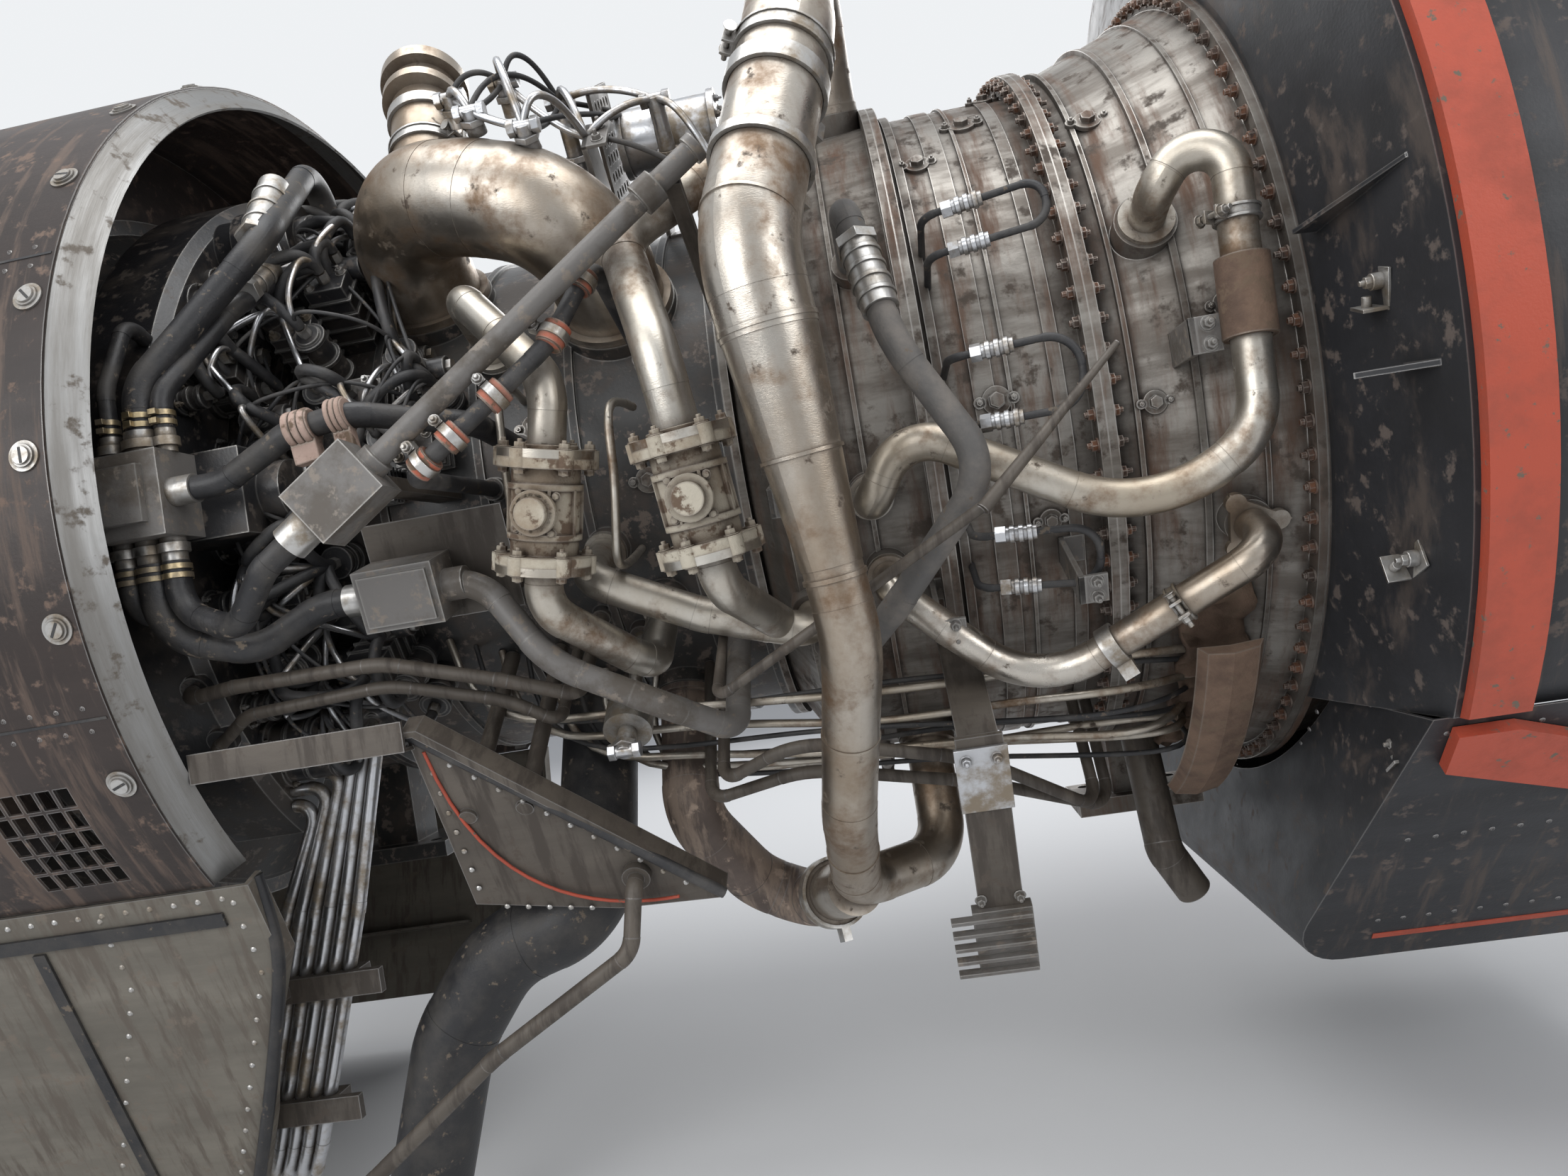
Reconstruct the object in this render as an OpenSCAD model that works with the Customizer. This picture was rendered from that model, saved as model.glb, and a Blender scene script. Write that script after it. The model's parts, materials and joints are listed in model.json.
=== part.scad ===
/* [Stations along the engine, measured from the tail flange] */
// Front of the nose lip
lip_x = -2210; // [-2230:5:-2190]
// Joint of the nose cowl, the fan case and the forward cowl
nose_joint_x = -2090; // [-2100:5:-2080]
// Joint of the fan case and the intermediate case
fan_rear_x = -1760; // [-1770:5:-1750]
// Joint of the intermediate case and the compressor case
core_front_x = -1480; // [-1485:5:-1475]
// Joint of the compressor case and the diffuser
core_rear_x = -950; // [-955:5:-945]
// Joint of the diffuser and the combustion case
diffuser_rear_x = -740; // [-742:1:-738]
// Big bolted joint of the combustion case and the turbine case
turbine_front_x = -569; // [-572:1:-566]
// Big bolted joint of the turbine case and the exhaust case
turbine_rear_x = -387; // [-390:1:-384]
// Rear edge of the forward cowl skin
skin_rear_x = -1536; // [-1540:1:-1532]

/* [Case radii] */
// Wall of the fan case over the blades
fan_wall = 15; // [12:1:18]
// Outside radius of the compressor case
core_r = 330; // [326:1:332]
// Outside radius of the combustion case
burner_r = 412; // [409:1:414]
// Outside radius of the turbine case at its rear end
turbine_r = 474; // [471:1:477]
// Outside radius of the tail flange
tail_flange_r = 455; // [452:1:458]
// Wall of the cases
case_wall = 6; // [5:0.5:7]
// How far a bolted flange stands above its case
flange_rise = 20; // [18:1:22]
// Thickness of each bolted flange
flange_t = 9; // [8:0.5:10]

/* [Rotors] */
// Tip radius of the fan blades
fan_tip_r = 452; // [448:1:454]
// Hub radius of the fan
fan_hub_r = 150; // [145:1:155]
// Number of fan blades
fan_blades = 22; // [16:1:26]
// Radius of the inner shaft
lp_shaft_r = 42; // [40:1:44]
// Outside radius of the outer shaft
outer_shaft_r = 62; // [60:1:63]
// Outside radius of the bearing rings
bearing_r = 84; // [82:1:86]
// Number of blades in each inner row
row_blades = 24; // [18:1:28]

/* [Cowls] */
// Outside radius of the forward cowl
cowl_r = 612; // [608:1:616]
// Sheet thickness of the cowls
skin_t = 3; // [2.5:0.5:4]
// How far the cowl end ring reaches in from the skin
ring_depth = 30; // [26:1:34]
// Outside radius of the aft bulkhead
bulkhead_r = 668; // [664:1:672]
// Thickness of the red seal around the bulkhead
seal_t = 12; // [10:1:14]
// Width of the red seal
seal_w = 50; // [44:1:54]
// Depth of the keel box below the engine axis
keel_z = 690; // [684:1:696]

/* [Ducts and pipes] */
// Radius of the fat bleed duct
bleed_r = 62; // [58:1:64]
// Radius of the main duct above its taper
main_r = 43; // [40:1:45]
// Radius of the main duct below its taper
main_low_r = 27; // [25:1:30]
// Radius of the lower duct
lower_duct_r = 34; // [31:1:36]
// Radius of the first valve's duct
duct_a_r = 19; // [17:1:21]
// Radius of the second valve's duct
duct_b_r = 22; // [20:1:24]
// Radius of the S-shaped pipe
s_pipe_r = 18; // [16:1:19]
// Radius of the lower curved pipe
low_pipe_r = 17; // [15:1:18]
// Radius of the large black hoses
hose_r = 15; // [13:1:16]
// Radius of the small black hoses
small_hose_r = 10.5; // [9:0.5:11.5]
// Radius of the braided hose
braid_r = 14; // [12:1:15]
// Radius of the long grey strut
strut_r = 11; // [9:1:12]
// Radius of the black drain duct
drain_r = 46; // [42:1:48]
// Radius of the bundled tubes
bundle_r = 8; // [6:0.5:8.5]

/* [Valves] */
// Outside radius of a valve body
valve_r = 33; // [31:1:35]
// Bore radius of a valve body
valve_bore_r = 28; // [26:1:29]
// Half length of a valve body with its flanges
valve_half = 52; // [48:1:56]
// Radius of the valve flanges
valve_flange_r = 47; // [44:1:49]
// Radius of the valve spindle
spindle_r = 5; // [4:0.5:6]

/* [Mounts] */
// Bolt circle radius of the tail flange
tail_pcd_r = 444; // [443:0.5:446]
// Number of holes in the tail flange
tail_holes = 36; // [24:6:36]
// Radius of the holes in the tail flange
tail_hole_r = 4.5; // [4:0.25:5]
// Distance of the front mount face below the engine axis
front_mount_z = 470; // [465:1:475]
// Distance of the rear mount face below the engine axis
rear_mount_z = 540; // [535:1:545]
// Length of a mount pad along the engine
pad_l = 160; // [150:5:180]
// Width of a mount pad across the engine
pad_w = 110; // [100:5:130]
// Radius of the mount pad holes
pad_hole_r = 8.5; // [7:0.5:10]

/* [Hidden] */

// Running clearance of a shaft in its bearing or bore
run_gap = 0.05;
// Gap between pieces that are only laid against each other
seat_gap = 0.3;
// How far a formed elbow stands proud of its straight pipe, and how far they overlap
elbow_step = 0.4;
elbow_lap = 1.5;
fine = 144;
round_fn = 48;

// Colours
steel = "#8d8880";
dull = "#6f6a62";
dark = "#26272a";
cream = "#c9c1ae";
bright = "#c4c6c8";
rust = "#5a3f33";
maroon = "#4a3833";
rubber = "#17181a";

// A point at a station x, an angle above the near side and a radius from the engine axis
function at(x, a, r) = [x, -r * cos(a), r * sin(a)];
function radius_of(p) = norm([p[1], p[2]]);
function around_of(p) = atan2(p[2], -p[1]);
function unit(v) = v / norm(v);
function mix(a, b, t) = a + (b - a) * t;
// The same point moved by v around the engine, square to its radius
function beside(x, a, r, v) = at(x, a, r) + v * [0, sin(a), cos(a)];
function turn(p, i) = acos(min(1, max(-1, unit(p[i] - p[i - 1]) * unit(p[i + 1] - p[i]))));
function bend_at(bend, i) = is_list(bend) ? bend[i - 1] : bend;
function trim(p, i, bend) = (i == 0 || i == len(p) - 1) ? 0 : bend_at(bend, i) * tan(turn(p, i) / 2);
// Case radius at a station between two ends
function lerp(x, x0, r0, x1, r1) = r0 + (r1 - r0) * (x - x0) / (x1 - x0);
function turbine_case_r(x) =
    lerp(x, turbine_front_x + flange_t, burner_r + 6, turbine_rear_x - flange_t, turbine_r);

// Puts children on the near side of the engine: local y runs up around it and z points away from its axis
module station(x, a, r) {
    translate([x, 0, 0]) rotate([90 - a, 0, 0]) translate([0, 0, r]) children();
}

// Turns a profile of [radius, x] points about the engine axis
module revolve(profile) {
    rotate([0, 90, 0]) rotate_extrude($fn = fine) polygon(profile);
}

// The same for a stretch of the circle between the angles a0 and a1
module sector(profile, a0, a1) {
    rotate([0, 90, 0]) rotate([0, 0, 270 - a1]) rotate_extrude(angle = a1 - a0, $fn = fine) polygon(profile);
}

module ring(x0, x1, r_in, r_out) {
    revolve([[r_in, x0], [r_out, x0], [r_out, x1], [r_in, x1]]);
}

// Stands children along the line from a to b
module along(a, b) {
    v = b - a;
    translate(a) rotate([0, acos(v[2] / norm(v)), atan2(v[1], v[0])]) children();
}

module bar(a, b, r) {
    along(a, b) cylinder(r = r, h = norm(b - a), $fn = round_fn);
}

// A disc of thickness t at the point p, facing the point q
module disc(p, q, r, t) {
    bar(p, p + unit(q - p) * t, r);
}

// One formed elbow of a pipe at corner i of the route p
module elbow(p, i, r, bend) {
    d = unit(p[i] - p[i - 1]);
    n = unit(cross(d, unit(p[i + 1] - p[i])));
    s = cross(n, d);
    b = bend_at(bend, i);
    c = p[i] - d * trim(p, i, bend) + s * b;
    multmatrix([[-s[0], d[0], n[0], c[0]], [-s[1], d[1], n[1], c[1]], [-s[2], d[2], n[2], c[2]], [0, 0, 0, 1]])
        rotate_extrude(angle = turn(p, i), $fn = 72) translate([b, 0]) circle(r = r, $fn = round_fn);
}

// A round pipe along the route p: straight lengths with formed elbows between them.
// The bend radius is one value, or a list with one for each corner
module pipe(p, r, bend) {
    last = len(p) - 1;
    for (i = [0 : last - 1]) {
        d = unit(p[i + 1] - p[i]);
        a = p[i] + d * (trim(p, i, bend) - (i == 0 ? 0 : elbow_lap));
        b = p[i + 1] - d * (trim(p, i + 1, bend) - (i == last - 1 ? 0 : elbow_lap));
        bar(a, b, r - elbow_step);
    }
    for (i = [1 : last - 1]) elbow(p, i, r, bend);
}

// Places copies around the engine axis, the first one at the top
module around(count, start = 0) {
    for (i = [0 : count - 1]) rotate([start + i * 360 / count, 0, 0]) children();
}

// A round boss that rises from inside a case wall to the radius top
module boss(x, a, wall_r, top, r) {
    station(x, a, wall_r - 24) cylinder(r = r, h = top - wall_r + 24, $fn = round_fn);
}

// Outside and inside of a case with a flange at each end, as [radius, x] points
function case_outside(x0, r0, x1, r1, rise0, rise1) = [
    [0, x0], [r0 + rise0, x0], [r0 + rise0, x0 + flange_t], [r0, x0 + flange_t],
    [r1, x1 - flange_t], [r1 + rise1, x1 - flange_t], [r1 + rise1, x1], [0, x1]];
function case_inside(x0, r0, x1, r1) = [
    [0, x0 - 1], [r0 - case_wall, x0 - 1], [r0 - case_wall, x0 + flange_t], [r1 - case_wall, x1 - flange_t],
    [r1 - case_wall, x1 + 1], [0, x1 + 1]];

// A straight blade of a row: a thin curved section that stands out along z
module blade(chord, h, stagger) {
    rotate([0, 0, stagger]) linear_extrude(height = h)
        polygon([[-chord / 2, 0], [0, chord * 0.12], [chord / 2, 0], [0, chord * 0.04]]);
}

// A ring of straight blades from the radius r_in to r_out
module blade_row(x, r_in, r_out, chord, stagger, count) {
    around(count) translate([x, 0, r_in]) blade(chord, r_out - r_in, stagger);
}

// Rotors
tip_gap = 3;
fan_bore_r = fan_tip_r + tip_gap;
fan_case_r = fan_bore_r + fan_wall;
hub_front_x = nose_joint_x + 90;
hub_rear_x = hub_front_x + 150;
fan_chord = 90;
fan_twist = 32;
fan_sink = 8;
spinner_l = 165;
rim_t = 14;
web_t = 24;
lp_front_x = hub_front_x + 20;
lp_rear_x = -270;
outer_front_x = core_front_x + 30;
outer_rear_x = -590;
outer_bore_r = lp_shaft_r + 8;
drum_front_x = core_front_x + 60;
drum_rear_x = core_rear_x - 70;
drum_r = 205;
blade_sink = 4;
core_rows = [drum_front_x + 60, drum_front_x + 160, drum_front_x + 260, drum_front_x + 360];
core_wheel_x = -640;
wheel_r = 300;
lp_wheel_x = -480;

module fan_section() {
    polygon([[-45, -6], [-25, 3], [0, 7], [25, 5], [45, -4], [25, 0], [0, 1], [-25, -2]] * fan_chord / 90);
}

module spinner() {
    color("gray") revolve(concat(
        [for (t = [0 : 9 : 90]) [fan_hub_r * sin(t), hub_front_x - spinner_l * cos(t)]],
        [for (t = [90 : -9 : 0]) [(fan_hub_r - 5) * sin(t), hub_front_x - (spinner_l - 5) * cos(t)]]));
}

module fan_rotor() {
    color("silver") {
        revolve([[lp_shaft_r + run_gap, hub_front_x + 30], [lp_shaft_r + run_gap, hub_front_x + 30 + web_t * 3],
            [90, hub_front_x + 30 + web_t * 2], [fan_hub_r - rim_t, hub_front_x + 30 + web_t * 2],
            [fan_hub_r - rim_t, hub_rear_x], [fan_hub_r, hub_rear_x], [fan_hub_r, hub_front_x],
            [fan_hub_r - rim_t, hub_front_x], [fan_hub_r - rim_t, hub_front_x + 30]]);
        around(fan_blades) translate([hub_front_x + 62, 0, fan_hub_r - fan_sink]) rotate([0, 0, 32])
            linear_extrude(height = fan_tip_r - fan_hub_r + fan_sink, twist = -fan_twist, slices = 4)
                fan_section();
    }
}

module lp_shaft() {
    color("silver") ring(lp_front_x, lp_rear_x, lp_shaft_r - 14, lp_shaft_r);
}

module lp_turbine_rotor() {
    color("gray") {
        revolve([[lp_shaft_r + run_gap, lp_wheel_x - 40], [lp_shaft_r + run_gap, lp_wheel_x + 40],
            [110, lp_wheel_x + 14], [wheel_r - 30, lp_wheel_x + 12], [wheel_r - 20, lp_wheel_x + 40],
            [wheel_r, lp_wheel_x + 40], [wheel_r, lp_wheel_x - 40], [wheel_r - 20, lp_wheel_x - 40],
            [wheel_r - 30, lp_wheel_x - 12], [110, lp_wheel_x - 14]]);
        blade_row(lp_wheel_x, wheel_r - blade_sink, turbine_case_r(lp_wheel_x) - case_wall - 12 - tip_gap,
            56, -38, row_blades * 2);
    }
}

module core_compressor_rotor() {
    color("silver") {
        ring(outer_front_x, outer_rear_x, outer_bore_r, outer_shaft_r);
        revolve([[outer_shaft_r - 2, drum_front_x], [drum_r, drum_front_x + 60], [drum_r + 20, drum_rear_x - 30],
            [outer_shaft_r - 2, drum_rear_x], [outer_shaft_r - 2, drum_rear_x - 16], [drum_r + 6, drum_rear_x - 42],
            [drum_r - 12, drum_front_x + 66], [outer_shaft_r - 2, drum_front_x + 16]]);
        for (x = core_rows) blade_row(x, drum_r - 2, core_r - case_wall - tip_gap, 46, 38, row_blades);
    }
}

module core_turbine_rotor() {
    color("gray") {
        revolve([[outer_shaft_r + run_gap, core_wheel_x - 30], [outer_shaft_r + run_gap, core_wheel_x + 30],
            [120, core_wheel_x + 14], [wheel_r - 30, core_wheel_x + 12], [wheel_r - 20, core_wheel_x + 30],
            [wheel_r, core_wheel_x + 30], [wheel_r, core_wheel_x - 30], [wheel_r - 20, core_wheel_x - 30],
            [wheel_r - 30, core_wheel_x - 12], [120, core_wheel_x - 14]]);
        blade_row(core_wheel_x, wheel_r - blade_sink, 380, 46, 40, row_blades * 2);
    }
}

// Bearings: each ring seats in its hub and runs on its shaft
bearing_t = 26;
front_bearing_x = fan_rear_x + 30;
core_bearing_x = core_front_x + 34;
rear_hub_x = core_rear_x + 20;
tail_bearing_x = -320;
hub_seat_r = bearing_r + run_gap;

module shaft_bearings() {
    color("silver") {
        ring(front_bearing_x, front_bearing_x + bearing_t, lp_shaft_r + run_gap, bearing_r);
        ring(core_bearing_x, core_bearing_x + bearing_t, outer_shaft_r + run_gap, bearing_r);
        ring(rear_hub_x, rear_hub_x + bearing_t, outer_shaft_r + run_gap, bearing_r);
        ring(tail_bearing_x, tail_bearing_x + bearing_t, lp_shaft_r + run_gap, bearing_r);
    }
}

// A bearing hub with spokes that reach a case of radius r_out
module hub(x, r_out, spokes, spoke_t) {
    ring(x - 6, x, lp_shaft_r + 24, hub_seat_r + 14);
    ring(x - 1, x + bearing_t / 2 + 30, hub_seat_r, hub_seat_r + 14);
    around(spokes) translate([x + bearing_t / 2, 0, hub_seat_r + 10]) linear_extrude(height = r_out - hub_seat_r - 10)
        polygon([[-28, 0], [-8, spoke_t / 2], [10, spoke_t / 2], [30, 0], [10, -spoke_t / 2], [-8, -spoke_t / 2]]);
}

// Cases

module fan_case() {
    color("dimgray") revolve([[fan_bore_r, nose_joint_x], [fan_case_r + flange_rise, nose_joint_x],
        [fan_case_r + flange_rise, nose_joint_x + flange_t], [fan_case_r, nose_joint_x + flange_t],
        [fan_case_r, fan_rear_x - flange_t], [fan_case_r + flange_rise, fan_rear_x - flange_t],
        [fan_case_r + flange_rise, fan_rear_x], [fan_bore_r, fan_rear_x]]);
}

neck_x = fan_rear_x + 120;
neck_r = core_r + 12;
pad_t = 22;
pad_reach = 52;

// A mount pad that faces down, with four holes and a stalk up into a case
module mount_pad(x, z, case_r) {
    difference() {
        union() {
            translate([x - pad_l / 2, -pad_w / 2, -z]) cube([pad_l, pad_w, pad_t]);
            translate([x - 30, -pad_w / 2 + 22, -z + pad_t - 1]) cube([60, pad_w - 44, z - pad_t - case_r + 5]);
        }
        for (sx = [-1, 1], sy = [-1, 1])
            translate([x + sx * (pad_l / 2 - 22), sy * (pad_w / 2 - 20), -z - 1])
                cylinder(r = pad_hole_r, h = pad_t + 2, $fn = round_fn);
    }
}

front_mount_x = neck_x + 80;
rear_mount_x = turbine_front_x + 44;

module intermediate_case() {
    color("dimgray") {
        revolve([[fan_bore_r, fan_rear_x], [fan_case_r + flange_rise, fan_rear_x],
            [fan_case_r + flange_rise, fan_rear_x + flange_t], [fan_case_r, fan_rear_x + flange_t],
            [neck_r, neck_x], [core_r, core_front_x - flange_t], [core_r + flange_rise, core_front_x - flange_t],
            [core_r + flange_rise, core_front_x], [core_r - case_wall, core_front_x],
            [core_r - case_wall, core_front_x - flange_t], [neck_r - case_wall, neck_x],
            [fan_case_r - case_wall, fan_rear_x + flange_t + 4]]);
        hub(front_bearing_x, lerp(front_bearing_x, fan_rear_x, fan_case_r, neck_x, neck_r) - 2, 8, 14);
        hub(core_bearing_x - 90, core_r + 1, 8, 12);
        ring(core_bearing_x - 60, core_bearing_x + bearing_t + 6, hub_seat_r, hub_seat_r + 14);
        mount_pad(front_mount_x, front_mount_z, neck_r - 6);
    }
}

// Where pipes leave the cases: x, angle, radius of the boss face, radius of the boss
bleed_front = [-1297, 44.5, core_r + 10, bleed_r + 10];
bleed_rear = [-1066, 32, core_r + 10, bleed_r + 10];
a_start = [-1205, 24, core_r + 16, duct_a_r + 9];
a_end = [-1062, -31, core_r + 16, duct_a_r + 9];
t_start = [-1112, -18, core_r + 16, duct_a_r + 6];
t_end = [-888, -30.5, burner_r + 6, duct_a_r + 6];
b_start = [-897, 30, burner_r + 14, duct_b_r + 9];
lower_start = [-1075, -57, core_r + 16, lower_duct_r + 8];
main_start = [-793, 66, burner_r + flange_rise + 2, main_r + 2];
main_end = [-790, -64, burner_r + 16, main_low_r + 8];
s_start = [-808, -14, burner_r + 14, s_pipe_r + 6];
s_end = [-503, 14.5, turbine_case_r(-503) + 16, s_pipe_r + 12];
low_start = [-803, -25.5, burner_r + 12, low_pipe_r + 6];
low_end = [-452, -24, turbine_case_r(-452) + 14, low_pipe_r + 6];
braid_start = [-790, 19, burner_r + 14, braid_r + 6];
braid_end = [-878, -36, burner_r + 12, braid_r + 4];
drain_start = [-1185, -56, core_r + 16, drain_r + 8];
hose_start = [-1420, 58, core_r + 16, hose_r + 6];
hose_2_start = [-1418, 38, core_r + 16, small_hose_r + 6];
hose_d_end = [-1187, 4, core_r + 16, small_hose_r + 6];
harness_start = [-1035, 17.5, core_r + 12, 13];
harness_end = [-1226, -2.6, core_r + 12, 13];
conduit_end = [-985, -39, core_r + 12, 18];
rod_start = [-985, -29.5, core_r + 12, 11];
tube_end = [-1140, -31.5, core_r + 12, 11];
canister_seat = [-1100, -37, core_r + 12, 14];
core_bosses = [bleed_front, bleed_rear, a_start, a_end, t_start, lower_start, drain_start, hose_start,
    hose_2_start, hose_d_end, harness_start, harness_end, conduit_end, rod_start, tube_end, canister_seat];
burner_bosses = [b_start, t_end, main_start, main_end, s_start, low_start, braid_start, braid_end];

function spot(b, r) = at(b[0], b[1], r);
function seat(b) = spot(b, b[2]);

module bosses(list, wall_r) {
    for (b = list) boss(b[0], b[1], wall_r, b[2], b[3]);
}

module compressor_case() {
    color("dimgray") difference() {
        union() {
            revolve(case_outside(core_front_x, core_r, core_rear_x, core_r, flange_rise, flange_rise));
            bosses(core_bosses, core_r);
            for (x = [-1360, -1240, -1125, -1015]) ring(x - 5, x + 5, core_r - 2, core_r + 5);
        }
        revolve(case_inside(core_front_x, core_r, core_rear_x, core_r));
    }
}

// Vanes that stand still between the rotor rows, each row held by its outer ring
guide_x = fan_rear_x - 40;
guide_chord = 60;
nozzle_x = -690;
nozzle_in_r = 250;
liner_r = 380;
lp_nozzle_x = -545;
vane_ring_t = 3;

module vane_stage(x, r_in, r_out, chord, half, stagger, count) {
    ring(x - half, x + half, r_out - vane_ring_t, r_out);
    ring(x - half, x + half, r_in, r_in + vane_ring_t);
    blade_row(x, r_in + 1, r_out - 1, chord, stagger, count);
}

module stator_vanes() {
    color("gray") {
        vane_stage(guide_x, 158, fan_bore_r - seat_gap, guide_chord, 32, 8, row_blades * 2);
        for (x = [for (i = [0 : 2]) (core_rows[i] + core_rows[i + 1]) / 2])
            vane_stage(x, drum_r + 30, core_r - case_wall - seat_gap, 34, 17, -30, row_blades + 2);
        vane_stage(nozzle_x, nozzle_in_r, burner_r - case_wall - seat_gap, 24, 15, -35, row_blades);
        ring(nozzle_x + 14, core_wheel_x + 36, liner_r + tip_gap, liner_r + tip_gap + 4);
        ring(nozzle_x + 5, nozzle_x + 15, liner_r + tip_gap, burner_r - case_wall - seat_gap - 1);
        vane_stage(lp_nozzle_x, wheel_r, turbine_case_r(lp_nozzle_x - 10) - case_wall - seat_gap, 18, 10, 30,
            row_blades + 4);
    }
}

burner_front_x = core_rear_x + 50;
nozzles = 12;
fuel_x = burner_front_x + 55;
fuel_tube_r = 8;
fuel_ring_r = burner_r + 26;

module diffuser_case() {
    color("dimgray") difference() {
        union() {
            revolve([[0, core_rear_x], [core_r + flange_rise, core_rear_x],
                [core_r + flange_rise, core_rear_x + flange_t], [core_r + 8, core_rear_x + flange_t],
                [burner_r - 6, burner_front_x], [burner_r, diffuser_rear_x - flange_t],
                [burner_r + flange_rise, diffuser_rear_x - flange_t], [burner_r + flange_rise, diffuser_rear_x],
                [0, diffuser_rear_x]]);
            bosses(burner_bosses, burner_r);
        }
        revolve([[0, core_rear_x - 1], [core_r - case_wall, core_rear_x - 1],
            [core_r - case_wall, core_rear_x + flange_t], [burner_r - 6 - case_wall, burner_front_x],
            [burner_r - case_wall, diffuser_rear_x - flange_t], [burner_r - case_wall, diffuser_rear_x + 1],
            [0, diffuser_rear_x + 1]]);
        around(nozzles, 15) translate([fuel_x, 0, burner_r - 30])
            cylinder(r = fuel_tube_r + seat_gap, h = 60, $fn = round_fn);
    }
    color("dimgray") intersection() {
        hub(rear_hub_x, burner_r, 6, 16);
        revolve([[0, core_rear_x + 2], [core_r - 2, core_rear_x + 2], [core_r, core_rear_x + flange_t],
            [burner_r - 9, burner_front_x], [burner_r - 9, burner_front_x + 16], [0, burner_front_x + 16]]);
    }
}

liner_front_x = burner_front_x + 22;
liner_rear_x = nozzle_x - 15;
liner_t = 3;

module combustor_liner() {
    color("sienna") difference() {
        union() {
            ring(liner_front_x, liner_rear_x, liner_r - liner_t, liner_r);
            ring(liner_front_x, liner_rear_x, nozzle_in_r, nozzle_in_r + liner_t);
            ring(liner_front_x, liner_front_x + liner_t, nozzle_in_r, liner_r);
        }
        around(nozzles, 15) translate([fuel_x, 0, liner_r - 20])
            cylinder(r = fuel_tube_r + seat_gap, h = 40, $fn = round_fn);
    }
}

module fuel_manifold() {
    color(bright) {
        translate([fuel_x, 0, 0]) rotate([0, 90, 0]) rotate_extrude($fn = fine) translate([fuel_ring_r, 0])
            circle(r = fuel_tube_r - 1, $fn = round_fn);
        around(nozzles, 15) translate([fuel_x, 0, liner_r - 12])
            cylinder(r = fuel_tube_r, h = fuel_ring_r - liner_r + 22, $fn = round_fn);
    }
}

big_flange_rise = 26;

module combustion_case() {
    color(steel) difference() {
        revolve(case_outside(diffuser_rear_x, burner_r, turbine_front_x, burner_r, flange_rise, big_flange_rise));
        revolve(case_inside(diffuser_rear_x, burner_r, turbine_front_x, burner_r));
    }
}

module turbine_case() {
    color(steel) {
        difference() {
            union() {
                revolve(case_outside(turbine_front_x, burner_r + 6, turbine_rear_x, turbine_r,
                    big_flange_rise - 6, flange_rise));
                for (b = [s_end, low_end, mast_seat]) boss(b[0], b[1], turbine_case_r(b[0]) - 4, b[2], b[3]);
                mount_pad(rear_mount_x, rear_mount_z, turbine_case_r(rear_mount_x) - 6);
            }
            revolve(case_inside(turbine_front_x, burner_r + 6, turbine_rear_x, turbine_r));
        }
    }
}

tail_wall_r = tail_pcd_r - 10;

module exhaust_case() {
    color(dull) {
        difference() {
            revolve([[turbine_r - case_wall, turbine_rear_x], [turbine_r + flange_rise, turbine_rear_x],
                [turbine_r + flange_rise, turbine_rear_x + flange_t], [turbine_r, turbine_rear_x + flange_t],
                [tail_wall_r, -flange_t], [tail_flange_r, -flange_t], [tail_flange_r, 0], [tail_wall_r - case_wall, 0],
                [tail_wall_r - case_wall, -flange_t], [turbine_r - case_wall, turbine_rear_x + flange_t]]);
            around(tail_holes) translate([-flange_t - 1, 0, tail_pcd_r]) rotate([0, 90, 0])
                cylinder(r = tail_hole_r, h = flange_t + 2, $fn = 24);
        }
        hub(tail_bearing_x, lerp(cone_face_x, turbine_rear_x + flange_t, turbine_r, -flange_t, tail_wall_r) - 2,
            8, 18);
    }
}

cone_face_x = tail_bearing_x + bearing_t / 2 + 30;
cone_r = 200;
cone_tip_x = 125;

module exhaust_cone() {
    color(dull) revolve([[lp_shaft_r + 18, cone_face_x], [cone_r, cone_face_x], [cone_r * 0.95, -150],
        [cone_r * 0.76, -20], [cone_r * 0.42, 78], [0, cone_tip_x], [0, cone_tip_x - 4], [cone_r * 0.4, 74],
        [cone_r * 0.74, -22], [cone_r * 0.93, -150], [cone_r - 4, cone_face_x + 4],
        [lp_shaft_r + 18, cone_face_x + 4]]);
}

bolt_h = 7;
bolt_r = 6;
bolt_edge = 9;

module bolt_circle(x, r, count) {
    around(count) translate([x - bolt_h, 0, r]) rotate([0, 90, 0]) cylinder(r = bolt_r, h = bolt_h, $fn = 6);
}

module flange_bolts() {
    color(rust) {
        bolt_circle(turbine_front_x - flange_t, burner_r + big_flange_rise - bolt_edge, 88);
        bolt_circle(turbine_rear_x - flange_t, turbine_r + flange_rise - bolt_edge, 98);
    }
}

// Cowls
cut_a = 39.5;
cut_x = -2000;
nose_r = (cowl_r + fan_bore_r) / 2;
nose_h = (cowl_r - fan_bore_r) / 2;
nose_l = nose_joint_x - lip_x;

module inlet_cowl() {
    color("lightgray") {
        revolve(concat(
            [for (t = [0 : 10 : 180]) [nose_r + nose_h * cos(t), nose_joint_x - nose_l * sin(t)]],
            [for (t = [180 : -10 : 0]) [nose_r + (nose_h - skin_t) * cos(t), nose_joint_x - (nose_l - skin_t) * sin(t)]]));
        ring(nose_joint_x - flange_t, nose_joint_x, fan_bore_r + 1, fan_case_r + flange_rise);
    }
}

// The opening below the cowl, where the pylon comes in
module pylon_gap(x0) {
    reach = cowl_r * 2;
    across(x0, x0 + 1000)
        polygon([[0, 0], [-reach * cos(cut_a), -reach * sin(cut_a)], [0, -reach * 2],
            [reach * cos(cut_a), -reach * sin(cut_a)]]);
}

frame_t = 3;
louvre_x = [-1706, -1610];
louvre_a = [-37, -25];
louvre_cols = 5;
louvre_rows = 5;
louvre_bar = 4;

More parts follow.
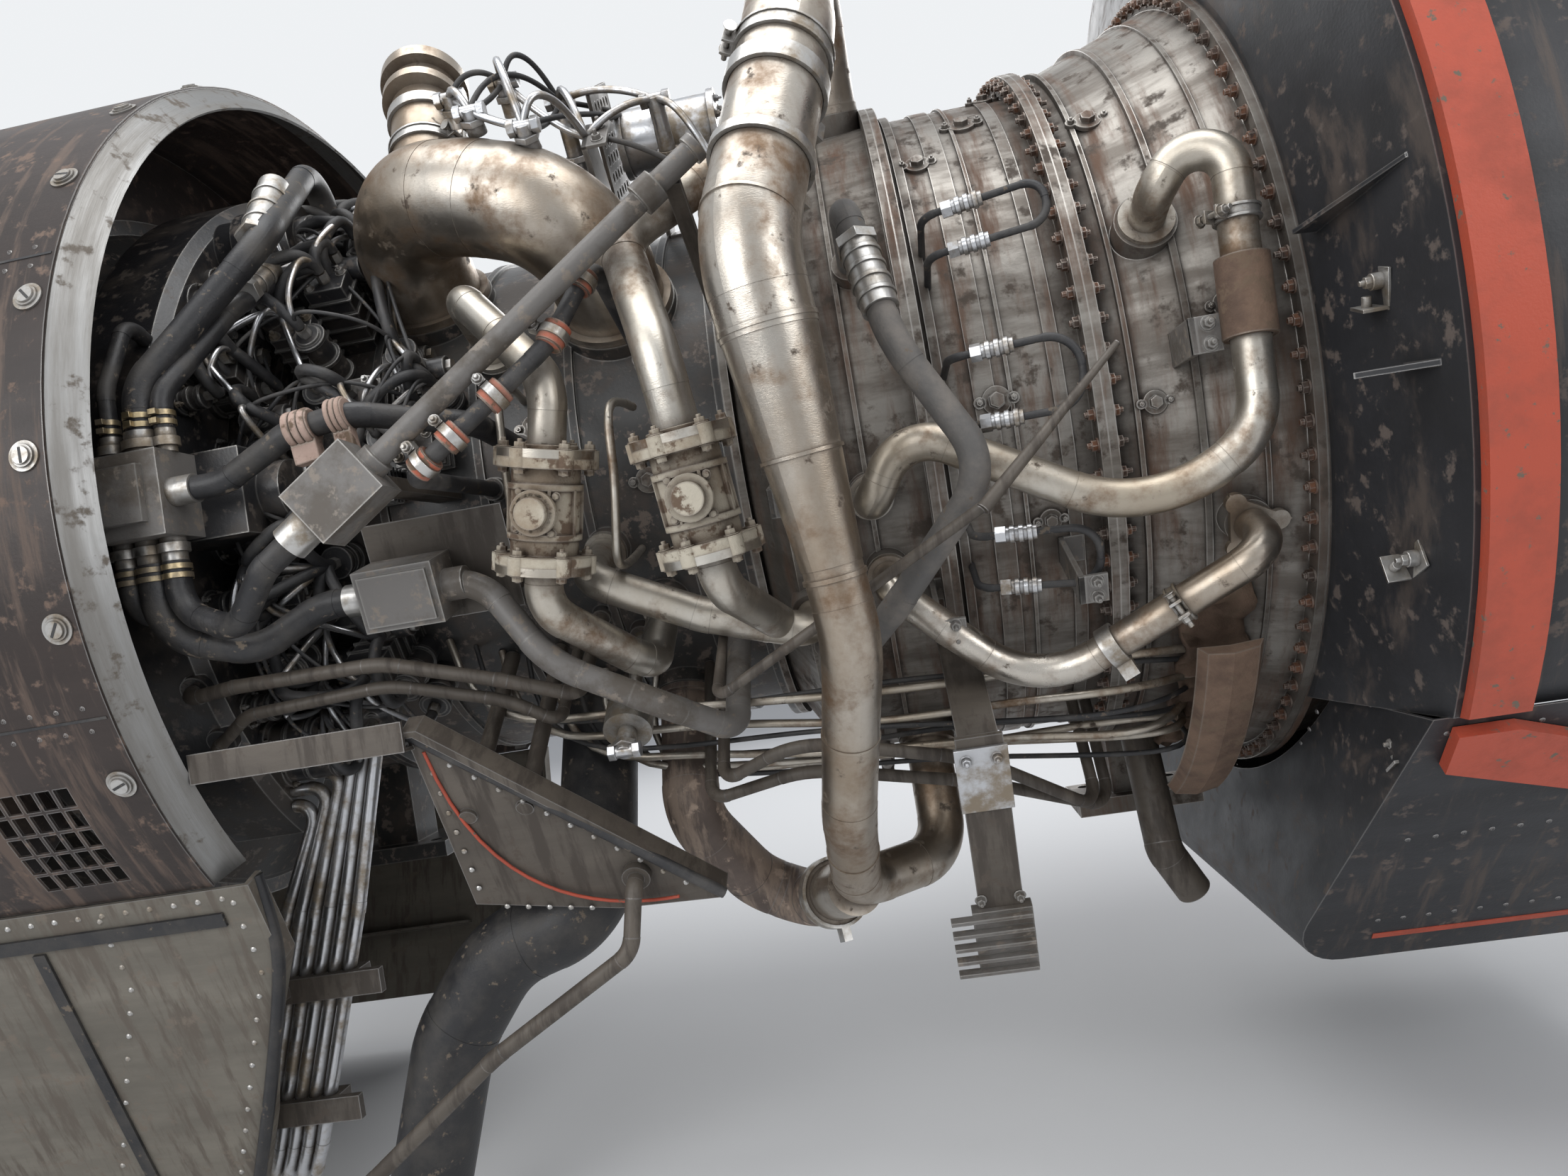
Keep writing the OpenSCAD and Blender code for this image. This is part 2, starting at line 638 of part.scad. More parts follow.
// Cells cut through the skin, with thin bars left between them
module louvre_cells() {
    cell_l = (louvre_x[1] - louvre_x[0]) / louvre_cols;
    cell_w = (louvre_a[1] - louvre_a[0]) / louvre_rows * cowl_r * PI / 180;
    for (i = [0 : louvre_cols - 1], k = [0 : louvre_rows - 1])
        station(louvre_x[0] + (i + 0.5) * cell_l, mix(louvre_a[0], louvre_a[1], (k + 0.5) / louvre_rows), cowl_r - 20)
            translate([louvre_bar - cell_l, louvre_bar - cell_w, 0] / 2)
                cube([cell_l - louvre_bar, cell_w - louvre_bar, 40]);
}

module forward_cowl() {
    skin_in_r = cowl_r - skin_t;
    web_r = skin_in_r - seat_gap;
    frame_in_r = fan_case_r + flange_rise + seat_gap;
    color(maroon) {
        difference() {
            ring(nose_joint_x, skin_rear_x, skin_in_r, cowl_r);
            pylon_gap(cut_x);
            louvre_cells();
        }
        ring(cut_x - frame_t, cut_x, fan_case_r + seat_gap, web_r);
        difference() {
            ring(fan_rear_x - 6, fan_rear_x - 6 + frame_t, frame_in_r, web_r);
            pylon_gap(cut_x);
        }
    }
}

lip_w = 24;

module cowl_ring() {
    r = cowl_r - skin_t - seat_gap;
    color(bright) sector([[r, skin_rear_x - lip_w], [r, skin_rear_x], [r - ring_depth + 4, skin_rear_x + lip_w],
        [r - ring_depth + 2, skin_rear_x + lip_w - 3], [r - 4, skin_rear_x - 1], [r - 4, skin_rear_x - lip_w]],
        -cut_a, 180 + cut_a);
}

module cowl_fasteners() {
    color(bright) for (i = [0 : 16]) station(skin_rear_x - 20, 4.4 - 30 + 15 * i, cowl_r + seat_gap) {
        cylinder(r = 10.5, h = 3, $fn = round_fn);
        translate([0, 0, 2]) cylinder(r = 8, h = 3, $fn = round_fn);
    }
}

band_r = turbine_r + flange_rise + seat_gap;
plate_r = band_r + 9;
plate_x = turbine_rear_x + 5;
rim_x = turbine_rear_x + 37;
keel_top_z = 385;

module above_keel() {
    intersection() {
        children();
        translate([-500, -800, -keel_top_z + 1]) cube([500, 1600, 1600]);
    }
}

cone_slope = (rim_x - plate_x) / (bulkhead_r - plate_r);
fin_rise = 14;
fin_edge = 24;

// Station of the bulkhead cone at the radius r
function cone_at(r) = plate_x + (r - plate_r) * cone_slope;

// A plate that stands forward from the bulkhead cone at the angle a
module cone_fin(a, r0, h, t) {
    r1 = bulkhead_r - fin_edge;
    rotate([90 - a, 0, 0]) translate([0, -t / 2, 0]) rotate([90, 0, 0]) translate([0, 0, -t])
        linear_extrude(height = t)
            polygon([[cone_at(r0), r0], [plate_x - h, r0 + 6], [cone_at(r1) - 5, r1 - 4], [cone_at(r1), r1]]);
}

module aft_bulkhead() {
    color(dark) above_keel() {
        revolve([[band_r, plate_x - 3], [plate_r, plate_x - 3], [bulkhead_r, rim_x - 3], [bulkhead_r, rim_x + seal_w],
            [bulkhead_r - skin_t, rim_x + seal_w], [bulkhead_r - skin_t, rim_x], [plate_r, plate_x + 3],
            [band_r, plate_x + 3]]);
        for (a = [6, 52, 118]) cone_fin(a, plate_r + fin_rise, 22, 4);
        cone_fin(-8.5, (plate_r + bulkhead_r) / 2 + fin_rise, 26, 5);
    }
}

keel_top_y = 540;
keel_low_y = 250;
keel_front_x = rim_x - 16;
keel_lean_x = keel_front_x - 74;
keel_rear_x = -60;
keel_drop = keel_z - keel_top_z;
side_l = norm([keel_top_y - keel_low_y, keel_drop]);
side_a = atan2(keel_drop, keel_top_y - keel_low_y);

module fire_seal() {
    color("red") {
        difference() {
            above_keel() ring(rim_x + 2, rim_x + 2 + seal_w, bulkhead_r + seat_gap, bulkhead_r + seat_gap + seal_t);
            for (s = [-1, 1]) translate([-600, s * 800 - 250, -keel_top_z - 20]) cube([600, 500, 21]);
        }
        for (s = [0, 1]) mirror([0, s, 0]) translate([0, -keel_top_y, -keel_top_z]) rotate([-side_a, 0, 0])
            translate([0, 4, -seat_gap - seal_t]) linear_extrude(height = seal_t)
                polygon([[rim_x + 2, 8], [rim_x + 2 + seal_w, 8], [keel_rear_x, 118], [keel_rear_x, 182],
                    [rim_x + 2, 60]]);
    }
}

// The keel outline seen along the engine, drawn in by d
module keel_outline(d) {
    polygon([[-keel_top_y + d * 1.4, -keel_top_z + 1], [-keel_low_y + d * 0.4, -keel_z + d],
        [keel_low_y - d * 0.4, -keel_z + d], [keel_top_y - d * 1.4, -keel_top_z + 1]]);
}

module across(x0, x1) {
    translate([x0, 0, 0]) rotate([90, 0, 90]) linear_extrude(height = x1 - x0) children();
}

keel_nose_r = 52;
keel_lean_a = atan2(keel_drop, keel_front_x - keel_lean_x);
keel_nose_c = [keel_lean_x + keel_nose_r / tan(keel_lean_a / 2), keel_nose_r - keel_z];

// Everything behind the leaning front of the keel box and its rounded nose, moved back by d
module behind_front(d) {
    nose = [for (i = [0 : 8]) keel_nose_c + (keel_nose_r - d) * [cos(90 + keel_lean_a + i * (180 - keel_lean_a) / 8),
        sin(90 + keel_lean_a + i * (180 - keel_lean_a) / 8)]];
    rotate([90, 0, 0]) translate([0, 0, -800]) linear_extrude(height = 1600)
        polygon(concat([[keel_front_x + d, -keel_top_z + 40], [keel_front_x + d, -keel_top_z]], nose,
            [[keel_rear_x + 1, -keel_z + d], [keel_rear_x + 1, -keel_top_z + 40]]));
}

module keel_box() {
    color(dark) difference() {
        intersection() {
            across(keel_lean_x - 10, keel_rear_x) keel_outline(0);
            behind_front(0);
        }
        intersection() {
            across(keel_lean_x - 20, keel_rear_x - skin_t) translate([0, 1]) keel_outline(skin_t);
            behind_front(skin_t);
        }
        across(keel_lean_x - 20, keel_rear_x + 1) circle(r = plate_r + 3, $fn = fine);
    }
}

module aft_cowl() {
    r = bulkhead_r - 13;
    color("dimgray") above_keel() {
        ring(rim_x + seal_w + 2, keel_rear_x, r - skin_t, r);
        ring(keel_rear_x - frame_t, keel_rear_x, tail_wall_r + 7, r - skin_t - seat_gap);
    }
}

// Keel fairing: a sheet that stands outside the services below the engine
fair_y = 505;
fair_z = 255;
fair_low_y = 385;
fair_low_z = 490;
fair_l = norm([fair_y - fair_low_y, fair_low_z - fair_z]);
fair_a = atan2(fair_low_z - fair_z, fair_y - fair_low_y);
fair_x = -1292;
fair_tip_x = -1023;
fair_t = 4;

// Lays local x along the engine, local y down the sheet and local z away from the engine
module on_sheet(y, z, a) {
    translate([0, -y, -z]) rotate([-a, 0, 0]) mirror([0, 0, 1]) children();
}

module keel_fairing() {
    color(steel) {
        on_sheet(fair_y, fair_z, fair_a) {
            linear_extrude(height = fair_t)
                polygon([[fair_x, 0], [fair_x + 16, 0], [fair_tip_x, fair_l - 14], [fair_tip_x - 8, fair_l],
                    [fair_x + 150, fair_l - 4], [fair_x, fair_l - 36]]);
            translate([0, 0, -16]) linear_extrude(height = 28)
                polygon([[fair_x, 0], [fair_x + 16, 0], [fair_tip_x, fair_l - 14], [fair_tip_x - 6, fair_l - 8],
                    [fair_x + 10, 7], [fair_x, 7]]);
        }
        translate([skin_rear_x + lip_w + seat_gap, -518, -fair_z - 24])
            cube([fair_x - skin_rear_x - lip_w + 3, 4, 30]);
        translate([skin_rear_x + lip_w + seat_gap, -518, -fair_z - 24])
            cube([fair_x - skin_rear_x - lip_w + 3, 26, 4]);
        for (x = [fair_x + 30, fair_x + 90])
            bar(at(x, -38, core_r + 5 + seat_gap), at(x, -38, 584 - (x - fair_x) * 0.02), 9);
    }
}

// Pylon: two side sheets and a front sheet, cut off square below
pyl_y = 472;
pyl_z = 390;
pyl_low_y = 327;
pyl_low_z = 780;
pyl_l = norm([pyl_y - pyl_low_y, pyl_low_z - pyl_z]);
pyl_a = atan2(pyl_low_z - pyl_z, pyl_y - pyl_low_y);
pyl_front_x = -1990;
pyl_t = 4;

module pylon_side() {
    on_sheet(pyl_y, pyl_z, pyl_a) {
        linear_extrude(height = pyl_t)
            polygon([[pyl_front_x, 0], [-1497, 0], [-1493, 96], [-1550, 207], [-1590, 312], [-1640, pyl_l],
                [pyl_front_x, pyl_l]]);
        translate([0, 0, -22]) linear_extrude(height = 23)
            polygon([[-1497, 0], [-1493, 96], [-1550, 207], [-1590, 312], [-1640, pyl_l], [-1646, pyl_l],
                [-1596, 310], [-1556, 205], [-1499, 94], [-1503, 0]]);
        for (s = [150, 300]) translate([pyl_front_x + 8, s, -18]) cube([330, 4, 19]);
    }
}

module pylon_panel() {
    color(cream) pylon_side();
}

module pylon_skin() {
    color(cream) {
        mirror([0, 1, 0]) pylon_side();
        difference() {
            across(pyl_front_x + 1, pyl_front_x + pyl_t) polygon([[seat_gap - pyl_y, -pyl_z],
                [seat_gap - pyl_low_y, -pyl_low_z + 2], [pyl_low_y + 1, -pyl_low_z + 2], [pyl_y - 0.5, -pyl_z - 4]]);
            across(pyl_front_x, pyl_front_x + pyl_t + 1) circle(r = fan_case_r + 1, $fn = fine);
        }
    }
}

// Accessories
box_x = -1640;
box_rear_x = -1530;
box_in_r = 353;
box_out_r = 474;

module accessory_gearbox() {
    color(dark) {
        sector([[box_in_r, box_x], [box_out_r - 12, box_x], [box_out_r, box_x + 12], [box_out_r, box_rear_x - 12],
            [box_out_r - 12, box_rear_x], [box_in_r, box_rear_x]], -52, 66);
        for (a = [-46, -8, 28, 60])
            station(box_x + 55, a, lerp(box_x + 39, neck_x, neck_r, core_front_x, core_r) + seat_gap)
                cylinder(r = 16, h = box_in_r - neck_r + 20, $fn = round_fn);
        for (a = [hose_a_a, -23, -31]) station(hose_a_x, a, box_out_r - 6) cylinder(r = 16, h = 12, $fn = round_fn);
    }
}

starter_r = 46;
starter_c_r = 428;

module starter() {
    color(dark) station(box_rear_x, 51, starter_c_r) rotate([0, 90, 0]) {
        cylinder(r = starter_r - 6, h = 26, $fn = round_fn);
        translate([0, 0, 25]) cylinder(r = starter_r, h = 70, $fn = round_fn);
        translate([0, 0, 52]) cylinder(r = starter_r + 4, h = 14, $fn = round_fn);
        translate([0, 0, 94]) cylinder(r = starter_r - 16, h = 16, $fn = round_fn);
    }
}

block_a = 1;
block_x = -1521;
block_l = 80;
block_w = 85;
block_r = 480;
block_t = 60;
port_r = block_r + block_t / 2;
port_pitch = 25;
hose_a_x = block_x - port_pitch;
hose_a_a = block_a - atan((block_w / 2 + 78) / port_r);

module fuel_pump() {
    color(dark) {
        station(box_rear_x, block_a, core_r + flange_rise + 12)
            translate([0, -45, 0]) cube([96, 90, block_r - core_r - flange_rise - 12]);
        station(box_rear_x + 95, block_a, 424) rotate([0, 90, 0]) cylinder(r = 34, h = 26, $fn = round_fn);
    }
}

module manifold_block() {
    color(dull) station(block_x, block_a, block_r) {
        translate([-block_l / 2 + 9, -block_w / 2, 0]) cube([block_l - 9, block_w, block_t]);
        translate([-block_l / 2, -block_w / 2 + 10, 8]) cube([block_l, block_w - 20, block_t - 16]);
        translate([-block_l / 2 + 20, -block_w / 2 + 14, block_t - 1]) cube([block_l - 36, block_w - 28, 9]);
    }
}

fit_l = 24;

// The mouth of a block port: side is 1 on the upper face and -1 on the lower one
function port(x, side, out) = beside(x, block_a, port_r, side * (block_w / 2 + out));

module port_fitting(x, side, r) {
    bar(port(x, side, 0), port(x, side, fit_l), r + 2);
    bar(port(x, side, 6), port(x, side, 15), r + 5);
}

function toward(p, q, d) = p + unit(q - p) * d;

strut_c = [-1290, -559, -29];
strut_d = unit([287, 20, 200]);
strut_block = [76, 60, 44];
strut_l = 453;
strut_foot = strut_c + strut_d * (strut_l - 28);

hose_c_end = strut_c - strut_d * (strut_block[0] / 2 + 30);
junction_x = -1290;
junction_a = -15;
junction_r = 444;
junction_l = 84;
junction_w = 64;
junction_t = 52;
junction_p = at(junction_x, junction_a, junction_r + 26);
hose_b_end = [junction_x - junction_l / 2 - 22, junction_p[1], junction_p[2]];

hose_1 = [port(block_x + 9, 1, fit_l), port(block_x + 9, 1, fit_l + 45), at(-1394, 31, 520),
    at(hose_start[0], hose_start[1], 500), seat(hose_start)];
hose_2 = [port(block_x + port_pitch + 8, 1, fit_l), port(block_x + port_pitch + 8, 1, fit_l + 34),
    at(-1440, 25, 486), at(hose_2_start[0], hose_2_start[1], 440), seat(hose_2_start)];
hose_3 = [port(block_x - port_pitch, 1, fit_l), port(block_x - port_pitch, 1, fit_l + 48),
    at(hose_a_x, 24, 506), at(hose_a_x, 24, box_out_r + 1)];
hose_a = [port(hose_a_x, -1, fit_l), port(hose_a_x, -1, 78), at(hose_a_x, hose_a_a, box_out_r + 6)];
hose_b = [port(block_x, -1, fit_l), port(block_x, -1, fit_l + 74), at(-1440, -18, 512), hose_b_end + [-30, 0, 0],
    hose_b_end];
hose_c = [port(block_x + port_pitch, -1, fit_l), port(block_x + port_pitch, -1, fit_l + 50), at(-1430, -14.5, 548),
    hose_c_end - strut_d * 34, hose_c_end];
hose_d = [[block_x + block_l / 2 + fit_l, 0, 0] + at(0, block_a, port_r + 10),
    [block_x + block_l / 2 + fit_l + 30, 0, 0] + at(0, block_a, port_r + 10), at(-1345, 4.6, 534), at(-1285, 5.4, 534),
    at(hose_d_end[0], hose_d_end[1], 470), seat(hose_d_end)];

module upper_hoses() {
    color(rubber) {
        pipe(hose_1, hose_r, [60, 90, 36]);
        pipe(hose_2, small_hose_r, [40, 50, 30]);
        pipe(hose_3, small_hose_r - 2, [40, 22]);
        pipe(hose_d, small_hose_r + 2, [60, 80, 60, 40]);
    }
}

module lower_hoses() {
    color(rubber) {
        pipe(hose_a, hose_r - 3, [28]);
        pipe(hose_b, hose_r, [52, 50, 50]);
        pipe(hose_c, hose_r - 2, [40, 40, 30]);
    }
}

module hose_fittings() {
    color(bright) {
        port_fitting(block_x + 9, 1, hose_r);
        port_fitting(block_x + port_pitch + 8, 1, small_hose_r - 3);
        port_fitting(block_x - port_pitch, 1, small_hose_r - 2);
        port_fitting(hose_a_x, -1, hose_r - 5);
        port_fitting(block_x, -1, hose_r - 4);
        port_fitting(block_x + port_pitch, -1, hose_r - 5);
        bar([block_x + block_l / 2, 0, 0] + at(0, block_a, port_r + 10), hose_d[0], small_hose_r + 4);
        bar(hose_b_end, hose_b_end + [22, 0, 0], hose_r + 2);
        bar(hose_c_end, hose_c_end + strut_d * 30, hose_r + 3);
    }
}

// Air ducts
module bleed_elbow() {
    color(steel) {
        pipe([seat(bleed_front), spot(bleed_front, 472), at(-1182, 38.6, 478), spot(bleed_rear, 472), seat(bleed_rear)],
            bleed_r, [84, 200, 84]);
        for (b = [bleed_front, bleed_rear]) disc(seat(b), spot(b, 400), bleed_r + 8, 9);
        bar(at(-1240, 43, 480), at(-1252, 60, 560), 40);
        bar(at(-1251, 58.5, 552), at(-1252, 60, 560), 50);
        bar(at(-1248, 55, 538), at(-1249, 56.2, 543), 46);
    }
}

main_top = at(-812, 30, 628);
main_mid = at(-874, 9, 643);
main_low = at(-842, -22, 636);
main_fold = at(-878, -41, 624);
main_turn = at(-892, -57, 612);
main_t0 = mix(main_mid, main_low, 0.22);
main_t1 = mix(main_mid, main_low, 0.8);
lower_q = at(-966, -73, 592);
stub_end = toward(main_turn, lower_q, 84);

module main_duct() {
    color(steel) {
        pipe([seat(main_start), spot(main_start, 640), main_top, main_mid, main_t0], main_r, [80, 120, 120]);
        along(main_t0 - unit(main_low - main_mid) * elbow_lap, main_t1)
            cylinder(r1 = main_r - 1.2, r2 = main_low_r + 0.5, h = norm(main_t1 - main_t0) + elbow_lap, $fn = round_fn);
        pipe([main_t1 - unit(main_low - main_mid) * elbow_lap, main_low, main_fold, main_turn,
            spot(main_end, 570), seat(main_end)], main_low_r, [120, 120, 62, 60]);
        bar(toward(main_turn, stub_end, 6), stub_end, lower_duct_r - 2);
        disc(stub_end, main_turn, lower_duct_r + 3, 6);
        disc(seat(main_start), spot(main_start, 600), main_r + 1, 9);
        disc(seat(main_end), spot(main_end, 500), main_low_r + 6, 8);
    }
}

module lower_duct() {
    color(rust) {
        pipe([seat(lower_start), spot(lower_start, 505), at(-1025, -71, 562), lower_q, stub_end],
            lower_duct_r, [50, 60, 40]);
        disc(stub_end, lower_q, lower_duct_r + 3, 6);
        disc(seat(lower_start), spot(lower_start, 450), lower_duct_r + 6, 8);
    }
}

// A band clamp of width w round the line from p towards q
module band(p, q, r, w) {
    difference() {
        bar(p, toward(p, q, w), r + 4);
        bar(toward(p, q, -1), toward(p, q, w + 1), r + seat_gap);
    }
    along(p, toward(p, q, w)) translate([r + 3, -5, 0]) cube([16, 10, w]);
}

low_a = at(-672, -38.5, 520);
low_b = at(-452, -24, 532);

module duct_clamps() {
    color(bright) {
        band(mix(main_top, main_mid, 0.26), main_mid, main_r, 18);
        band(mix(main_top, main_mid, 0.62), main_mid, main_r, 10);
        band(toward(stub_end, lower_q, -9), lower_q, lower_duct_r + 3, 18);
        band(mix(low_a, low_b, 0.3), low_b, low_pipe_r, 16);
        band(mix(bleed_top_a, bleed_top_b, 0.55), bleed_top_b, 40, 14);
    }
}

bleed_top_a = at(-1240, 43, 480);
bleed_top_b = at(-1252, 60, 560);

// Valves
valve_1 = [-1121, -8, 498];
lean_1 = 13;
valve_2 = [-965, -9, 540];
lean_2 = -5;
valve_pipe_t = 8;
cap_r = 15;
cap_h = 9;
valve_wall_z = valve_r + 9;

// A point on the valve's axis, d above its centre
function valve_at(v, lean, d) = at(v[0], v[1], v[2]) + d * [sin(lean), cos(lean) * sin(v[1]), cos(lean) * cos(v[1])];

module at_valve(v, lean) {
    station(v[0], v[1], v[2]) rotate([0, 0, -lean]) children();
}

module valve_body() {
    color(cream) difference() {
        union() {
            rotate([90, 0, 0]) cylinder(r = valve_r, h = valve_half * 2, center = true, $fn = round_fn);
            for (s = [-1, 1]) {
                translate([0, s * (valve_half - 5), 0]) rotate([90, 0, 0])
                    cylinder(r = valve_flange_r, h = 10, center = true, $fn = round_fn);
                translate([0, s * 24, 0]) rotate([90, 0, 0])
                    cylinder(r = valve_r + 3, h = 6, center = true, $fn = round_fn);
            }
            cylinder(r = 19, h = valve_wall_z, $fn = round_fn);
            translate([0, 0, -valve_wall_z]) cylinder(r = 13, h = valve_wall_z, $fn = round_fn);
        }
        rotate([90, 0, 0]) cylinder(r = valve_bore_r, h = valve_half * 2 + 2, center = true, $fn = round_fn);
        translate([0, 0, -valve_wall_z - 1]) cylinder(r = spindle_r + run_gap, h = valve_wall_z * 2 + 2, $fn = round_fn);
    }
}

module butterfly() {
    color(steel) {
        rotate([90, 0, 0]) cylinder(r = valve_bore_r - 0.6, h = 4, center = true, $fn = round_fn);
        translate([0, 0, -valve_wall_z]) cylinder(r = spindle_r, h = valve_wall_z * 2 + cap_h, $fn = round_fn);
        translate([0, 0, valve_wall_z + seat_gap]) cylinder(r = cap_r, h = cap_h, $fn = round_fn);
    }
}

module valve_body_1() {
    at_valve(valve_1, lean_1) valve_body();
}

module valve_body_2() {
    at_valve(valve_2, lean_2) valve_body();
}

module butterfly_1() {
    at_valve(valve_1, lean_1) butterfly();
}

module butterfly_2() {
    at_valve(valve_2, lean_2) butterfly();
}

// The pipe flange that closes one end of a valve: side is 1 above and -1 below
module valve_joint(v, lean, side) {
    bar(valve_at(v, lean, side * valve_half), valve_at(v, lean, side * (valve_half + valve_pipe_t)), valve_flange_r);
}

module duct_a() {
    color(bright) {
        pipe([seat(a_start), spot(a_start, 452), at(-1150, 14.5, 474), valve_at(valve_1, lean_1, valve_half + 72),
            valve_at(valve_1, lean_1, valve_half + 4)], duct_a_r, [40, 60, 44]);
        valve_joint(valve_1, lean_1, 1);
        disc(seat(a_start), spot(a_start, 450), duct_a_r + 7, 6);
    }
}

module duct_b() {
    color(bright) {
        pipe([seat(b_start), spot(b_start, 505), at(-1010, 20.5, 518), valve_at(valve_2, lean_2, valve_half + 78),
            valve_at(valve_2, lean_2, valve_half + 4)], duct_b_r, [44, 46, 90]);
        valve_joint(valve_2, lean_2, 1);
        disc(seat(b_start), spot(b_start, 490), duct_b_r + 7, 6);
    }
}

outlet_mid = at(-1078, -28.5, 470);
outlet_2_end = at(-922, -28.4, 452);

module valve_outlets() {
    color(bright) {
        pipe([valve_at(valve_1, lean_1, -valve_half - 4), valve_at(valve_1, lean_1, -valve_half - 46), outlet_mid,
            spot(a_end, 455), seat(a_end)], duct_a_r, [44, 30, 24]);
        valve_joint(valve_1, lean_1, -1);
        disc(seat(a_end), spot(a_end, 450), duct_a_r + 7, 6);
        pipe([seat(t_start), spot(t_start, 446), at(-1000, -25.5, 450), at(-935, -28.4, 452), spot(t_end, 452),
            seat(t_end)], duct_a_r, [28, 120, 120, 24]);
        disc(seat(t_start), spot(t_start, 440), duct_a_r + 5, 6);
        pipe([valve_at(valve_2, lean_2, -valve_half - 4), valve_at(valve_2, lean_2, -valve_half - 38), outlet_2_end],
            duct_b_r - 3, [40]);
        valve_joint(valve_2, lean_2, -1);
    }
}

// Pipes on the hot end
s_low = at(-455, -12.5, 525);
s_high = at(-438, 21.5, 548);
s_route = [seat(s_start), spot(s_start, 478), at(-768, -6, 494), at(-556, -19.5, 518), s_low, s_high,
    spot(s_end, 505), seat(s_end)];

module s_pipe() {
    color(bright) {
        pipe(s_route, s_pipe_r, [30, 46, 130, 64, 30, 24]);
        disc(seat(s_start), spot(s_start, 470), s_pipe_r + 5, 5);
        disc(seat(s_end), spot(s_end, 500), s_pipe_r + 9, 6);
    }
}

flange_leg = 27;

module lower_pipe() {
    color(steel) {
        pipe([seat(low_start), spot(low_start, 466), at(-752, -30.5, 492), low_a, low_b, seat(low_end)], low_pipe_r,
            [24, 60, 90, 30]);
        station(low_end[0], low_end[1], low_end[2]) linear_extrude(height = 7) {
            polygon([for (t = [0 : 120 : 240]) (flange_leg + 12) * [cos(t), sin(t)]]);
            for (t = [0 : 120 : 240]) translate(flange_leg * [cos(t), sin(t)]) circle(r = 10, $fn = round_fn);
        }
        disc(seat(low_start), spot(low_start, 460), low_pipe_r + 5, 5);
    }
}

braid_route = [seat(braid_start), spot(braid_start, 526), at(-766, 2, 553), at(-700, -11, 560), at(-800, -24, 531),
    spot(braid_end, 492), seat(braid_end)];

module braided_hose() {
    color("gray") {
        pipe(braid_route, braid_r, [34, 110, 56, 100, 34]);
        bar(mix(braid_route[1], braid_route[2], 0.38), mix(braid_route[1], braid_route[2], 0.74), braid_r + 3);
    }
}

module strut_rod() {
    color(steel) {
        along(strut_c, strut_c + strut_d) {
            translate([-strut_block[1] / 2, -strut_block[2] / 2, -strut_block[0] / 2])
                cube([strut_block[1], strut_block[2], strut_block[0]]);
            cylinder(r = strut_r, h = strut_l, $fn = round_fn);
            translate([0, 0, strut_block[0] / 2 - 1]) cylinder(r = strut_r + 5, h = 12, $fn = round_fn);
            translate([0, 0, strut_l - 66]) cylinder(r = strut_r + 5, h = 22, $fn = round_fn);
            translate([0, 0, strut_l - 1]) cylinder(r = strut_r + 3, h = 9, $fn = round_fn);
        }
    }
}

conduit_r = 14;
conduit_0 = [junction_x + junction_l / 2, junction_p[1], junction_p[2]];

module junction_box() {
    color(dull) {
        station(junction_x, junction_a, junction_r) {
            translate([-junction_l / 2, -junction_w / 2, 0]) cube([junction_l, junction_w, junction_t]);
            translate([-junction_l / 2 + 6, -junction_w / 2 + 6, junction_t - 1])
                cube([junction_l - 12, junction_w - 12, 5]);
        }
        pipe([conduit_0 - [2, 0, 0], conduit_0 + [36, 0, 0], at(-1150, -25.2, 512), at(-1051, -31.5, 526),
            spot(conduit_end, 508), seat(conduit_end)], conduit_r, [60, 120, 120, 30]);
        bar(conduit_0 - [1, 0, 0], conduit_0 + [22, 0, 0], conduit_r + 3);
    }
}

wire_r = 4;
harness_r = 9;
// Cable loops: angle of the upper leg, radius, angle between the legs, and radius of the round end
loops = [[19, 500, 5, 19], [0.5, 520, 7.5, 30], [-20, 500, 7, 26]];
loop_foot_x = diffuser_rear_x + 24;
loop_end_x = -600;

module harness() {
    color(rubber) {
        pipe([seat(harness_start), spot(harness_start, 526), at(-1079, 8.6, 538), at(-1181, 0.2, 556),
            spot(harness_end, 552), seat(harness_end)], harness_r, [30, 120, 120, 24]);
        for (l = loops) {
            p = at(loop_foot_x, l[0], burner_r + seat_gap);
            q = at(loop_foot_x, l[0] - l[2], burner_r + seat_gap);
            top = at(loop_foot_x, l[0], l[1] - 24);
            low = at(loop_foot_x, l[0] - l[2], l[1] - 30);
            far = at(loop_end_x, l[0], l[1]);
            back = at(loop_end_x, l[0] - l[2], l[1] - 6);
            pipe([p, top, far, back, low, q], wire_r, [18, l[3], l[3], 18]);
        }
    }
}

mast_seat = [-530, -73, turbine_case_r(-530) + 14, 26];
service_r = 9;
fair_out = [0, -sin(fair_a), -cos(fair_a)];
service_0 = [-1111, -fair_y + 215 * cos(fair_a), -fair_z - 215 * sin(fair_a)] + fair_out * fair_t;

